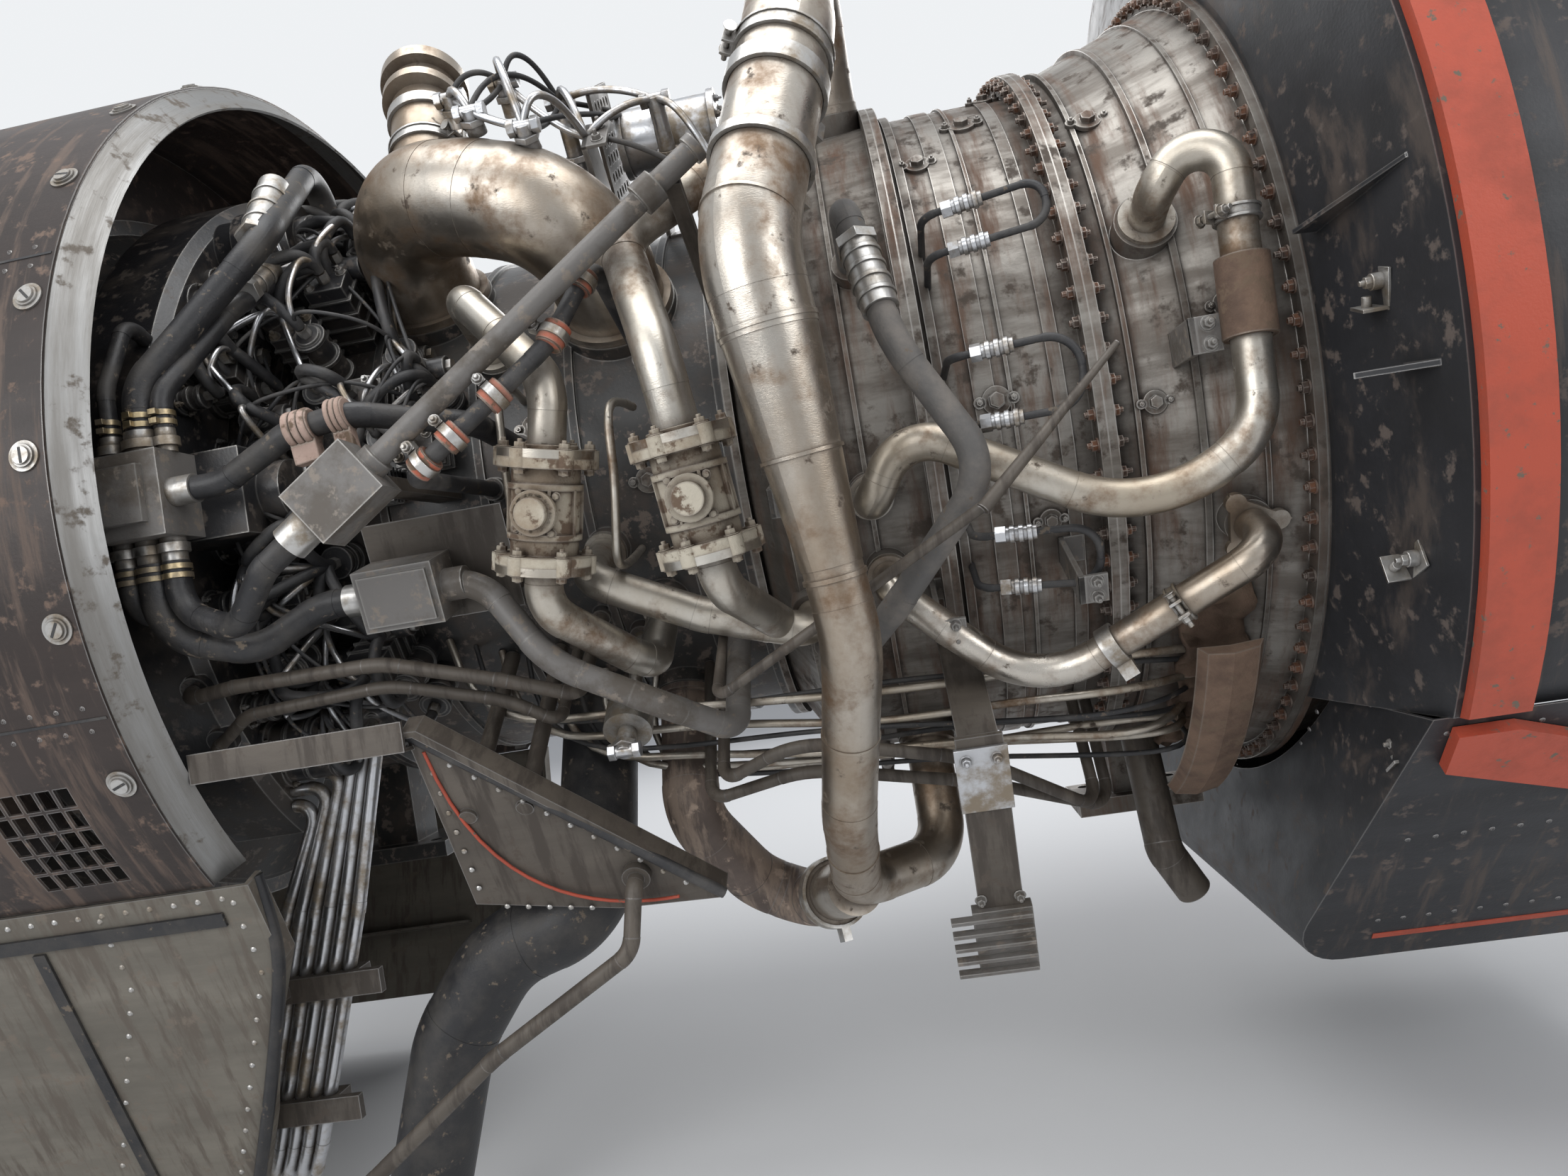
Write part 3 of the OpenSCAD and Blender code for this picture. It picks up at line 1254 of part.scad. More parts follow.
module small_tubes() {
    color(dull) {
        for (v = [0 : 1])
            pipe([at(hose_a_x, -23 - v * 8, box_out_r + 6), at(hose_a_x, -23 - v * 8, 500), at(-1490, -22.5 - v * 4, 496),
                at(-1330, -22.8 - v * 3, 492), at(-1214, -27.5 - v * 3, 492),
                v == 0 ? at(-1140, -31.5, 490) : at(-1170, -35, 492),
                v == 0 ? seat(tube_end) : at(-1170, -35, core_r + 0.5)], v == 0 ? 8 : 7, [16, 40, 120, 120, 18]);
        pipe([seat(rod_start), spot(rod_start, 562), at(-708, -13.7, 586)], 5.5, [20]);
        along(at(-708, -13.7, 586), at(-563, -1, 524)) translate([0, 0, -8])
            cylinder(r1 = 6.5, r2 = 3, h = norm(at(-708, -13.7, 586) - at(-563, -1, 524)), $fn = round_fn);
        for (v = [0 : 1])
            pipe([at(-1010 - v * 25, -44 - v * 5, core_r + 5.5), at(-1010 - v * 25, -44 - v * 5, 536 - v * 10),
                at(-921, -38 - v * 6, 546 - v * 10), at(-747, -43.5 - v * 6, 556 - v * 10),
                at(-616 + v * 20, -59 - v * 4, 556 - v * 10), at(-616 + v * 20, -59 - v * 4, burner_r + 0.5)],
                7, [24, 90, 120, 30]);
        pipe([seat(mast_seat), spot(mast_seat, 590), at(-500, -76, 640)], 22, [24]);
        pipe([service_0, service_0 + fair_out * 26, [-1121, -444, -520], [-1283, -438, -611], [-1441, -432, -727],
            [-1494, -430, -pyl_low_z + 4]], service_r, [16, 30, 200, 120]);
        bar(service_0, service_0 + fair_out * 10, 15);
    }
}

bundle_n = 6;
bundle_pitch = 18;

bundle_top = [-1555, -330, -462];
bundle_low = [-1668, -292, -746];

function bundle_route(i) = [for (q = [[box_rear_x - bundle_pitch * i, -318, -338 + bundle_pitch * i],
    [-1500, -318, -338 + bundle_pitch * i], bundle_top, bundle_low, [-1682, -289, -pyl_low_z + 2]])
    q + [bundle_pitch * i, 0, 0]];

module tube_bundle() {
    color(bright) for (i = [0 : bundle_n - 1]) pipe(bundle_route(i), bundle_r, [18, 60, 200]);
}

drain_hollow = 120;

module drain_duct() {
    color(rubber) difference() {
        union() {
            pipe([seat(drain_start), spot(drain_start, 602), [-1300, -335, -532], [-1372, -335, -622],
                [-1426, -335, -pyl_low_z]], drain_r, [70, 120, 140]);
            disc(seat(drain_start), spot(drain_start, 450), drain_r + 6, 8);
        }
        along([-1426, -335, -pyl_low_z], [-1372, -335, -622]) translate([0, 0, -1])
            cylinder(r = drain_r - 6, h = drain_hollow, $fn = round_fn);
    }
}

module insulation() {
    color(rust) {
        sector([[518, -517], [530, -510], [534, -486], [529, -460], [518, -453], [521, -486]], -69, -36);
        difference() {
            bar(mix(s_low, s_high, 0.27), mix(s_low, s_high, 0.5), s_pipe_r + 6);
            bar(s_low, s_high, s_pipe_r + seat_gap);
        }
        for (a = [-44, -64]) station(-486, a, turbine_case_r(-477) + seat_gap)
            cylinder(r = 9, h = 522 - turbine_case_r(-477), $fn = round_fn);
    }
}

module post(x, a, r0, r1, l, w) {
    station(x, a, r0) translate([-l / 2, -w / 2, 0]) cube([l, w, r1 - r0]);
}

sheet_x0 = -1334;
sheet_x1 = -1182;
clamp_z = [-547, -696];

// Inside face of the pylon side sheet at the height z
function sheet_y(z) = -lerp(-z, pyl_z, pyl_y, pyl_low_z, pyl_low_y);

module bundle_clamp(z) {
    c = mix(bundle_top, bundle_low, (z - bundle_top[2]) / (bundle_low[2] - bundle_top[2]));
    l = bundle_pitch * bundle_n + 22;
    difference() {
        translate([c[0] - 20, c[1] - 18, z - 14]) cube([l, 36, 28]);
        for (i = [0 : bundle_n - 1])
            bar(mix(bundle_route(i)[2], bundle_route(i)[3], -0.2), mix(bundle_route(i)[2], bundle_route(i)[3], 1.3),
                bundle_r + seat_gap);
    }
    for (x = [c[0] - 16, c[0] + 16]) translate([x, sheet_y(z - 6) + seat_gap, z - 6])
        cube([12, c[1] - 17 - sheet_y(z - 6) - seat_gap, 12]);
    translate([c[0] + l - 21, c[1] - 18, z - 14]) cube([30, 10, 28]);
}

module brackets() {
    color(dull) {
        station(0, junction_a, junction_r - 4) translate([sheet_x0, -40, 0]) cube([sheet_x1 - sheet_x0, 110, 4]);
        for (x = [sheet_x0 + 14, sheet_x1 - 20], y = [-28, 50]) station(x, junction_a, core_r + seat_gap)
            translate([0, y, 0]) cylinder(r = 5, h = junction_r - core_r - 4, $fn = 24);
        post(strut_c[0] + 8, -2, core_r + seat_gap, -strut_c[1] - strut_block[2] / 2 - 2.2, 30, 14);
        post(strut_foot[0], around_of(strut_foot), core_r + flange_rise + seat_gap,
            radius_of(strut_foot) - strut_r - seat_gap * 2, 16, 8);
        station(-1052, 60, core_r + seat_gap) translate([-4, -60, 0]) difference() {
            cube([5, 120, 190]);
            for (y = [20 : 20 : 100], z = [30 : 20 : 170]) translate([-1, y, z]) rotate([0, 90, 0])
                cylinder(r = 6, h = 8, $fn = 24);
        }
        for (z = clamp_z) bundle_clamp(z);
        post(diffuser_rear_x - 4, -37.5, burner_r + flange_rise + seat_gap, 592, 40, 6);
        station(diffuser_rear_x - 4, -37.5, 592) translate([-23, 0, -4]) rotate([-12, 0, 0])
            translate([0, -290, 0]) cube([46, 300, 5]);
    }
}

module sensor_canister() {
    color(bright) {
        station(canister_seat[0], canister_seat[1], canister_seat[2]) {
            cylinder(r = 8, h = 122, $fn = round_fn);
            translate([0, 0, 120]) cylinder(r = 22, h = 8, $fn = round_fn);
            translate([0, 0, 127]) cylinder(r = 26, h = 34, $fn = round_fn);
            translate([0, 0, 160]) cylinder(r = 10, h = 16, $fn = round_fn);
        }
    }
}

spinner();
fan_rotor();
lp_shaft();
lp_turbine_rotor();
core_compressor_rotor();
core_turbine_rotor();
shaft_bearings();
fan_case();
intermediate_case();
compressor_case();
stator_vanes();
diffuser_case();
combustor_liner();
fuel_manifold();
combustion_case();
turbine_case();
exhaust_case();
exhaust_cone();
flange_bolts();
inlet_cowl();
forward_cowl();
cowl_ring();
cowl_fasteners();
aft_bulkhead();
fire_seal();
aft_cowl();
keel_box();
keel_fairing();
pylon_panel();
pylon_skin();
accessory_gearbox();
starter();
fuel_pump();
manifold_block();
upper_hoses();
lower_hoses();
hose_fittings();
bleed_elbow();
main_duct();
lower_duct();
duct_clamps();
duct_a();
duct_b();
valve_outlets();
valve_body_1();
valve_body_2();
butterfly_1();
butterfly_2();
s_pipe();
lower_pipe();
braided_hose();
strut_rod();
junction_box();
harness();
small_tubes();
tube_bundle();
drain_duct();
insulation();
brackets();
sensor_canister();
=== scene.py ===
# %% [markdown]
# This lesson dresses a small jet engine that was built in a CAD program.
# The CAD model is the fixed frame: its pieces already have their true size and place, so nothing
# is moved here.
# What is left is what the eye judges: the finish of each surface, and the small parts that sit on
# the big ones.

# %% Load the frame
import json
import math
import random

import bmesh
import bpy
from mathutils import Matrix, Vector


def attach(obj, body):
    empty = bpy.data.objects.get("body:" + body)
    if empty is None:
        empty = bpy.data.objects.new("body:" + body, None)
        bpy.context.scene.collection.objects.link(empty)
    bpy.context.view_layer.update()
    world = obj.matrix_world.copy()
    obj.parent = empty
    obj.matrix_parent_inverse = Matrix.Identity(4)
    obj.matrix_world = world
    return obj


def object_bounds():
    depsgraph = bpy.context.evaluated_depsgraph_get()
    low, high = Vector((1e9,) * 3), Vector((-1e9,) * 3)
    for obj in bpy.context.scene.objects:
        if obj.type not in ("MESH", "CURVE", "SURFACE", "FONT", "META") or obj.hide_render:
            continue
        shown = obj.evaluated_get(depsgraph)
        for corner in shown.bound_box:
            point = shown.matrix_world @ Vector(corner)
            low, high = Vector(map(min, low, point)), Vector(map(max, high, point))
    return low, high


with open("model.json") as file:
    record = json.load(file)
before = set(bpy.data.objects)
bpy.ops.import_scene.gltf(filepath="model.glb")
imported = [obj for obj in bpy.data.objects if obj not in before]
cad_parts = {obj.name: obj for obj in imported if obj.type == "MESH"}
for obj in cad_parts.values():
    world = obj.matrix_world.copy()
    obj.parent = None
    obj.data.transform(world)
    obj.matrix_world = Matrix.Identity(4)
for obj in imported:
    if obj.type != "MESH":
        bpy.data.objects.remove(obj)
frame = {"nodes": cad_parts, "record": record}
nodes = frame["nodes"]
cad_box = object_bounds()
mm = 0.001

# %% [markdown]
# The camera comes first, because it decides which parts need the most care.
# The photograph was taken from close by with a wide lens, a little below the engine axis and
# rolled to one side.
# Its place was found by matching the cowl ring, the two bolted joints and the red seal, so it is
# written in metres.

# %% Camera
photo_width = 2212
focal_px = 1500
sensor_mm = 36
camera_place = Vector((-0.800, -1.500, -0.199))
camera_yaw = math.radians(-5.82)
camera_pitch = math.radians(0.98)
camera_roll = math.radians(-9.27)


def aim(place, yaw, pitch, roll):
    flat = math.cos(pitch)
    forward = Vector((math.sin(yaw) * flat, math.cos(yaw) * flat, math.sin(pitch)))
    level = Vector((math.cos(yaw), -math.sin(yaw), 0))
    upright = level.cross(forward)
    right = math.cos(roll) * level + math.sin(roll) * upright
    up = math.cos(roll) * upright - math.sin(roll) * level
    turned = Matrix((right, up, -forward)).transposed().to_4x4()
    return Matrix.Translation(place) @ turned


camera = bpy.data.objects.new("camera", bpy.data.cameras.new("camera"))
bpy.context.scene.collection.objects.link(camera)
camera.matrix_world = aim(camera_place, camera_yaw, camera_pitch, camera_roll)
camera.data.sensor_width = sensor_mm
camera.data.lens = focal_px / photo_width * sensor_mm
camera.data.clip_start = 0.02
bpy.context.scene.camera = camera
print("camera lens", round(camera.data.lens, 2), "mm")

# %% [markdown]
# A plain studio: big soft lamps overhead and at the camera's side, a pale floor and a pale
# backdrop. The backdrop is only colour, which the camera and reflections see. The lamps and a
# weak sky light the object.

# %% Studio
scene = bpy.context.scene
scene.view_settings.view_transform = "Standard"
backdrop, backdrop_in_gloss = (0.86, 0.88, 0.90, 1), 0.55
sky_colour, sky_strength = (0.9, 0.93, 1.0, 1), 0.34
floor_colour, floor_roughness = (0.74, 0.75, 0.76, 1), 0.9
floor_middle, floor_half, floor_gap = (-0.8, 2), 9, 0.06


def soft_lamp(name, place, target, size, watts):
    lamp = bpy.data.objects.new(name, bpy.data.lights.new(name, "AREA"))
    lamp.data.shape = "RECTANGLE"
    lamp.data.size, lamp.data.size_y = size
    lamp.data.energy = watts
    lamp.location = place
    lamp.rotation_euler = (Vector(target) - Vector(place)).to_track_quat("-Z", "Y").to_euler()
    scene.collection.objects.link(lamp)
    return lamp


def feed(tree, socket, value):
    """Sets a socket to a plain value, or links it where the value is another node's output."""
    if isinstance(value, bpy.types.NodeSocket):
        tree.links.new(value, socket)
    else:
        socket.default_value = value


def math_node(tree, operation, *values):
    node = tree.nodes.new("ShaderNodeMath")
    node.operation = operation
    for socket, value in zip(node.inputs, values):
        feed(tree, socket, value)
    return node.outputs[0]


middle = (-0.8, -0.2, -0.05)
lamps = [soft_lamp("lamp_above", (-0.9, -0.9, 2.6), middle, (3.2, 2.0), 62),
         soft_lamp("lamp_near", (-2.6, -3.0, 1.0), middle, (2.4, 2.2), 46),
         soft_lamp("lamp_tail", (1.7, -2.4, 0.9), middle, (1.8, 1.8), 26),
         soft_lamp("lamp_far", (-0.6, 3.0, 1.6), middle, (3.0, 2.0), 60)]

world = bpy.data.worlds.new("studio")
scene.world = world
world.use_nodes = True
tree = world.node_tree
plain = tree.nodes["Background"]
plain.inputs["Color"].default_value = sky_colour
plain.inputs["Strength"].default_value = sky_strength
seen = tree.nodes.new("ShaderNodeBackground")
seen.inputs["Color"].default_value = backdrop
ray = tree.nodes.new("ShaderNodeLightPath").outputs
shown = math_node(tree, "MAXIMUM", ray["Is Camera Ray"], ray["Is Transmission Ray"])
share = math_node(tree, "MULTIPLY_ADD", ray["Is Glossy Ray"], backdrop_in_gloss, shown)
either = tree.nodes.new("ShaderNodeMixShader")
for socket, value in zip(either.inputs, (share, plain.outputs[0], seen.outputs[0])):
    tree.links.new(value, socket)
tree.links.new(either.outputs[0], tree.nodes["World Output"].inputs["Surface"])

floor_z = cad_box[0][2] - floor_gap
bm = bmesh.new()
bmesh.ops.create_grid(bm, x_segments=1, y_segments=1, size=floor_half)
bmesh.ops.translate(bm, verts=bm.verts, vec=(*floor_middle, floor_z))
floor = bpy.data.objects.new("floor", bpy.data.meshes.new("floor"))
bm.to_mesh(floor.data)
bm.free()
scene.collection.objects.link(floor)
pale = bpy.data.materials.new("floor_pale")
pale.use_nodes = True
floor_shader = pale.node_tree.nodes["Principled BSDF"]
floor_shader.inputs["Base Color"].default_value = floor_colour
floor_shader.inputs["Roughness"].default_value = floor_roughness
floor.data.materials.append(pale)
print(len(lamps), "lamps, and a floor at", round(floor_z, 3), "m")

# %% [markdown]
# Every metal and paint on a used engine shows the same few kinds of wear: blotches of grime,
# streaks, bright worn edges and darker corners, partly dirt and partly painted shade. Each kind is
# a node group that gives out a mask, so that a material only says how much of each it has. Streaks
# are blotches on coordinates that follow the engine round. Object coordinates keep the patterns at
# their real size.

# %% Wear masks
def new_group(name, inputs, outputs=("Mask",)):
    group = bpy.data.node_groups.new(name, "ShaderNodeTree")
    for title, value in inputs:
        kind = "NodeSocketVector" if value is None else "NodeSocketFloat"
        socket = group.interface.new_socket(name=title, in_out="INPUT", socket_type=kind)
        if value is not None:
            socket.default_value = value
    for title in outputs:
        kind = "NodeSocketVector" if title == "Vector" else "NodeSocketFloat"
        group.interface.new_socket(name=title, in_out="OUTPUT", socket_type=kind)
    given = group.nodes.new("NodeGroupInput").outputs
    return group, given, group.nodes.new("NodeGroupOutput").inputs


def step_mask(tree, value, centre, width):
    """0 below centre - width, 1 above centre + width, smooth between."""
    low = math_node(tree, "SUBTRACT", centre, width)
    high = math_node(tree, "ADD", centre, width)
    ramp = tree.nodes.new("ShaderNodeMapRange")
    ramp.interpolation_type = "SMOOTHSTEP"
    tree.links.new(value, ramp.inputs["Value"])
    tree.links.new(low, ramp.inputs["From Min"])
    tree.links.new(high, ramp.inputs["From Max"])
    return ramp.outputs["Result"]


def noise(tree, vector, scale, detail=6, roughness=0.6):
    node = tree.nodes.new("ShaderNodeTexNoise")
    node.inputs["Detail"].default_value = detail
    node.inputs["Roughness"].default_value = roughness
    tree.links.new(vector, node.inputs["Vector"])
    feed(tree, node.inputs["Scale"], scale)
    return node.outputs["Fac"]


def make_blotches():
    """Patches of a second finish: Cover 0 is none of it, 1 is all of it."""
    inputs = [("Vector", None), ("Scale", 8.0), ("Cover", 0.5), ("Softness", 0.05)]
    group, given, out = new_group("blotches", inputs)
    grain = noise(group, given["Vector"], given["Scale"], 9, 0.66)
    noise_top, noise_span = 0.72, 0.44  # nearly all of the noise lies between 0.28 and 0.72
    centre = math_node(group, "MULTIPLY_ADD", given["Cover"], -noise_span, noise_top)
    group.links.new(step_mask(group, grain, centre, given["Softness"]), out["Mask"])
    return group


def make_worn_edges():
    """Where an edge turns sharply, broken up by fine noise."""
    sharp_from, sharp_full = 0.008, 0.07
    inputs = [("Vector", None), ("Radius", 0.003), ("Amount", 0.6)]
    group, given, out = new_group("worn edges", inputs)
    bevel = group.nodes.new("ShaderNodeBevel")
    bevel.samples = 4
    group.links.new(given["Radius"], bevel.inputs["Radius"])
    place = group.nodes.new("ShaderNodeNewGeometry")
    dot = group.nodes.new("ShaderNodeVectorMath")
    dot.operation = "DOT_PRODUCT"
    group.links.new(bevel.outputs["Normal"], dot.inputs[0])
    group.links.new(place.outputs["Normal"], dot.inputs[1])
    turn = math_node(group, "SUBTRACT", 1.0, dot.outputs["Value"])
    grain = noise(group, given["Vector"], 60, 6, 0.7)
    turn = math_node(group, "MULTIPLY", turn, math_node(group, "MULTIPLY", grain, given["Amount"]))
    mask = group.nodes.new("ShaderNodeMapRange")
    mask.inputs["From Min"].default_value = sharp_from
    mask.inputs["From Max"].default_value = sharp_full
    group.links.new(turn, mask.inputs["Value"])
    group.links.new(mask.outputs["Result"], out["Mask"])
    return group


def make_corner_grime_and_shade():
    """Where a surface is close to another one: grime stays there, and the mask also paints the
    shade of the corner.
    """
    full_gain = 2.4
    inputs = [("Vector", None), ("Reach", 0.03), ("Amount", 1.0)]
    group, given, out = new_group("corner grime and shade", inputs)
    # Ambient occlusion sets the mask, so corners are darkened where shade falls: painted shade
    # along with the grime.
    near = group.nodes.new("ShaderNodeAmbientOcclusion")
    near.samples = 4
    group.links.new(given["Reach"], near.inputs["Distance"])
    closed = math_node(group, "SUBTRACT", 1.0, near.outputs["AO"])
    grain = noise(group, given["Vector"], 25, 5, 0.6)
    amount = math_node(group, "MULTIPLY", given["Amount"], full_gain)
    mask = math_node(group, "MULTIPLY", closed, math_node(group, "MULTIPLY", grain, amount))
    clamp = group.nodes.new("ShaderNodeClamp")
    group.links.new(mask, clamp.inputs["Value"])
    group.links.new(clamp.outputs["Result"], out["Mask"])
    return group


def make_around_axis():
    """Coordinates that follow the engine: along it, around it, and away from its axis."""
    case_radius = 0.45  # turns the angle into metres
    group, given, out = new_group("around the axis", [("Vector", None)], ("Vector",))
    split = group.nodes.new("ShaderNodeSeparateXYZ")
    group.links.new(given["Vector"], split.inputs[0])
    outward = math_node(group, "MULTIPLY", split.outputs["Y"], -1.0)
    angle = math_node(group, "ARCTAN2", split.outputs["Z"], outward)
    length = group.nodes.new("ShaderNodeCombineXYZ")
    group.links.new(split.outputs["Y"], length.inputs["Y"])
    group.links.new(split.outputs["Z"], length.inputs["Z"])
    radius = group.nodes.new("ShaderNodeVectorMath")
    radius.operation = "LENGTH"
    group.links.new(length.outputs[0], radius.inputs[0])
    join = group.nodes.new("ShaderNodeCombineXYZ")
    group.links.new(split.outputs["X"], join.inputs["X"])
    group.links.new(math_node(group, "MULTIPLY", angle, case_radius), join.inputs["Y"])
    group.links.new(radius.outputs["Value"], join.inputs["Z"])
    group.links.new(join.outputs[0], out["Vector"])
    return group


blotches = make_blotches()
worn_edges = make_worn_edges()
corner_grime_and_shade = make_corner_grime_and_shade()
around_axis = make_around_axis()
print("wear groups:", [g.name for g in (blotches, worn_edges, corner_grime_and_shade, around_axis)])

# %% [markdown]
# A finish is built up the way it came about: first the bare metal or the paint, then each layer
# of wear over it. The small class below holds one Principled shader, and mixes each layer's
# colour, roughness and metal in by its mask. A Value or a Math node in front of a plain socket
# would be lost in the export, so plain numbers stay on the shader.

# %% Layered finishes
class Finish:
    """One material: a ground colour with layers over it."""

    def __init__(self, name, colour, roughness, metallic=0.0):
        self.material = bpy.data.materials.new(name)
        self.material.use_nodes = True
        self.tree = self.material.node_tree
        self.shader = self.tree.nodes["Principled BSDF"]
        self.place = self.tree.nodes.new("ShaderNodeTexCoord").outputs["Object"]
        self.colour, self.roughness, self.metallic = (*colour, 1), roughness, metallic
        self.height = None

    def stretched(self, *scale, vector=None):
        """The coordinates with each direction scaled, for grain and streaks."""
        node = self.tree.nodes.new("ShaderNodeMapping")
        node.inputs["Scale"].default_value = scale
        self.tree.links.new(vector or self.place, node.inputs["Vector"])
        return node.outputs[0]

    def use(self, group, vector=None, **values):
        node = self.tree.nodes.new("ShaderNodeGroup")
        node.node_tree = group
        self.tree.links.new(vector or self.place, node.inputs["Vector"])
        for title, value in values.items():
            node.inputs[title].default_value = value
        return node.outputs[0]

    def mix(self, kind, mask, old, new):
        node = self.tree.nodes.new("ShaderNodeMix")
        node.data_type = kind
        pair = [s for s in node.inputs if s.enabled and s.name in ("A", "B")]
        for socket, value in zip(pair, (old, new)):
            feed(self.tree, socket, value)
        self.tree.links.new(mask, [s for s in node.inputs if s.enabled and s.name == "Factor"][0])
        return [s for s in node.outputs if s.enabled][0]

    def layer(self, mask, colour=None, roughness=None, metallic=None):
        if colour is not None:
            self.colour = self.mix("RGBA", mask, self.colour, (*colour, 1))
        if roughness is not None:
            self.roughness = self.mix("FLOAT", mask, self.roughness, roughness)
        if metallic is not None:
            self.metallic = self.mix("FLOAT", mask, self.metallic, metallic)

    def stain(self, scale, cover, softness, colour, roughness, metallic=None, vector=None):
        """Blotches of another finish; a larger scale makes smaller ones."""
        mask = self.use(blotches, vector, Scale=scale, Cover=cover, Softness=softness)
        self.layer(mask, colour, roughness, metallic)

    def grime_and_shade(self, reach, amount, colour, roughness, metallic=None):
        """Dirt and painted shade in the corners, as far out from them as reach in metres."""
        mask = self.use(corner_grime_and_shade, Reach=reach, Amount=amount)
        self.layer(mask, colour, roughness, metallic)

    def rub(self, radius, amount, colour, roughness, metallic):
        """Edges worn bright, over a strip as wide as radius in metres."""
        mask = self.use(worn_edges, Radius=radius, Amount=amount)
        self.layer(mask, colour, roughness, metallic)

    def bump(self, scale, detail, distance, strength, vector=None, roughness=0.6):
        """Adds noise as a bump, its distance in metres; the last one called lies on top."""
        height = noise(self.tree, vector or self.place, scale, detail, roughness)
        node = self.tree.nodes.new("ShaderNodeBump")
        node.inputs["Distance"].default_value = distance
        node.inputs["Strength"].default_value = strength
        self.tree.links.new(height, node.inputs["Height"])
        if self.height is not None:
            self.tree.links.new(self.height, node.inputs["Normal"])
        self.height = node.outputs["Normal"]

    def done(self, **plain_values):
        built = {"Base Color": self.colour, "Roughness": self.roughness, "Metallic": self.metallic}
        if self.height is not None:
            built["Normal"] = self.height
        for title, value in (built | plain_values).items():
            feed(self.tree, self.shader.inputs[title], value)
        return self.material


# %% [markdown]
# The finishes themselves, one short function each. The colours come from looking at the
# photograph. First the metals: formed ducts in satin steel with brown heat tint, streaked cases,
# rusty flange bolts, and oily black castings in the accessory bay.

# %% Metals
def heat_tinted_steel(name, colour, tint, rough, cover):
    burnt_oil, soot, dirt_and_shade = (0.20, 0.13, 0.08), (0.10, 0.075, 0.055), (0.07, 0.05, 0.035)
    f = Finish(name, colour, rough, 1.0)
    f.stain(5.0, cover, 0.16, tint, rough + 0.08, vector=f.stretched(1, 1, 0.6))
    f.stain(16.0, cover * 0.7, 0.12, burnt_oil, 0.5, 0.75)
    f.stain(42.0, 0.18, 0.05, soot, 0.65, 0.2)
    # Darker corners: grime, and painted shade.
    f.grime_and_shade(0.03, 1.1, dirt_and_shade, 0.7, 0.1)
    f.bump(14, 3, 0.004, 0.25)
    f.bump(260, 2, 0.0004, 0.35, vector=f.stretched(1, 1, 5))
    return f.done()


def case_metal(name, colour, streak, rough, rust):
    rust_brown, soot = (0.15, 0.085, 0.055), (0.09, 0.07, 0.055)
    dirt_and_shade, bright = (0.045, 0.035, 0.028), (0.5, 0.48, 0.45)
    f = Finish(name, colour, rough, 0.9)
    ring = f.use(around_axis)
    along, across = f.stretched(2.2, 9, 1, vector=ring), f.stretched(7, 1, 1, vector=ring)
    f.stain(2.4, 0.5, 0.12, streak, rough + 0.1, 0.7, vector=along)
    f.stain(5.0, rust, 0.12, rust_brown, 0.75, 0.3, vector=across)
    f.stain(30.0, 0.3, 0.06, soot, 0.75, 0.2)
    # Darker corners: grime, and painted shade.
    f.grime_and_shade(0.05, 1.0, dirt_and_shade, 0.8, 0.0)
    f.rub(0.002, 1.2, bright, 0.35, 1.0)
    f.bump(90, 5, 0.0012, 0.4)
    return f.done()


def oily_casting(name, colour, rough, speck):
    dust, bare = tuple(2.2 * c for c in speck), (0.34, 0.33, 0.31)
    f = Finish(name, colour, rough, 0.0)
    f.stain(11.0, 0.42, 0.08, speck, rough + 0.22)
    f.stain(55.0, 0.3, 0.04, dust, 0.6)
    f.rub(0.003, 1.3, bare, 0.4, 0.8)
    f.bump(240, 3, 0.0006, 0.6)
    return f.done(**{"Coat Weight": 0.25, "Coat Roughness": 0.25})


def bare_fitting(name, colour, rough):
    dull, dirt_and_shade = (0.30, 0.25, 0.19), (0.05, 0.04, 0.03)
    f = Finish(name, colour, rough, 1.0)
    f.stain(24.0, 0.42, 0.1, dull, rough + 0.2, 0.8)
    # Darker corners: grime, and painted shade.
    f.grime_and_shade(0.012, 1.4, dirt_and_shade, 0.7, 0.1)
    f.bump(320, 2, 0.0003, 0.5)
    return f.done()


def rusty_iron(name, colour, bright):
    fresh_rust, old_rust = (0.17, 0.075, 0.04), (0.05, 0.032, 0.025)
    f = Finish(name, colour, 0.72, 0.4)
    f.stain(26.0, 0.5, 0.1, fresh_rust, 0.9, 0.0)
    f.stain(90.0, 0.35, 0.05, old_rust, 0.85, 0.0)
    f.rub(0.002, 1.1, bright, 0.45, 0.9)
    f.bump(330, 4, 0.0008, 0.7)
    return f.done()


def brushed_aluminium(name, colour, rough):
    dull, stain, dirt_and_shade = (0.24, 0.23, 0.215), (0.13, 0.11, 0.09), (0.06, 0.05, 0.045)
    f = Finish(name, colour, rough, 1.0)
    ring = f.use(around_axis)
    along = f.stretched(9, 0.7, 5, vector=ring)
    f.stain(6.0, 0.5, 0.16, dull, rough + 0.16, 0.9, vector=along)
    f.stain(34.0, 0.27, 0.05, stain, 0.6, 0.3)
    # Darker corners: grime, and painted shade.
    f.grime_and_shade(0.02, 1.2, dirt_and_shade, 0.7, 0.1)
    f.bump(14, 2, 0.0004, 0.4, vector=f.stretched(60, 1.5, 60, vector=ring))
    f.bump(18, 3, 0.003, 0.25)
    return f.done()


# %% [markdown]
# Then paint, rubber and cloth: cream valves caked with old deposit, a maroon cowl and a black
# bulkhead rubbed brown, dusty hoses, and red and pink silicone tapes.

# %% Paints, rubber and tape
def crusted_paint(name, colour, stain, rough=0.8):
    crust, dirt_and_shade, bare = (0.16, 0.11, 0.075), (0.09, 0.06, 0.04), (0.30, 0.26, 0.22)
    f = Finish(name, colour, rough, 0.0)
    f.stain(13.0, 0.45, 0.12, stain, 0.85)
    f.stain(38.0, 0.34, 0.04, crust, 0.9)
    # Darker corners: grime, and painted shade.
    f.grime_and_shade(0.02, 1.5, dirt_and_shade, 0.9)
    f.rub(0.003, 1.0, bare, 0.5, 0.7)
    f.bump(60, 6, 0.003, 0.55, roughness=0.7)
    f.bump(420, 3, 0.0006, 0.5)
    return f.done()


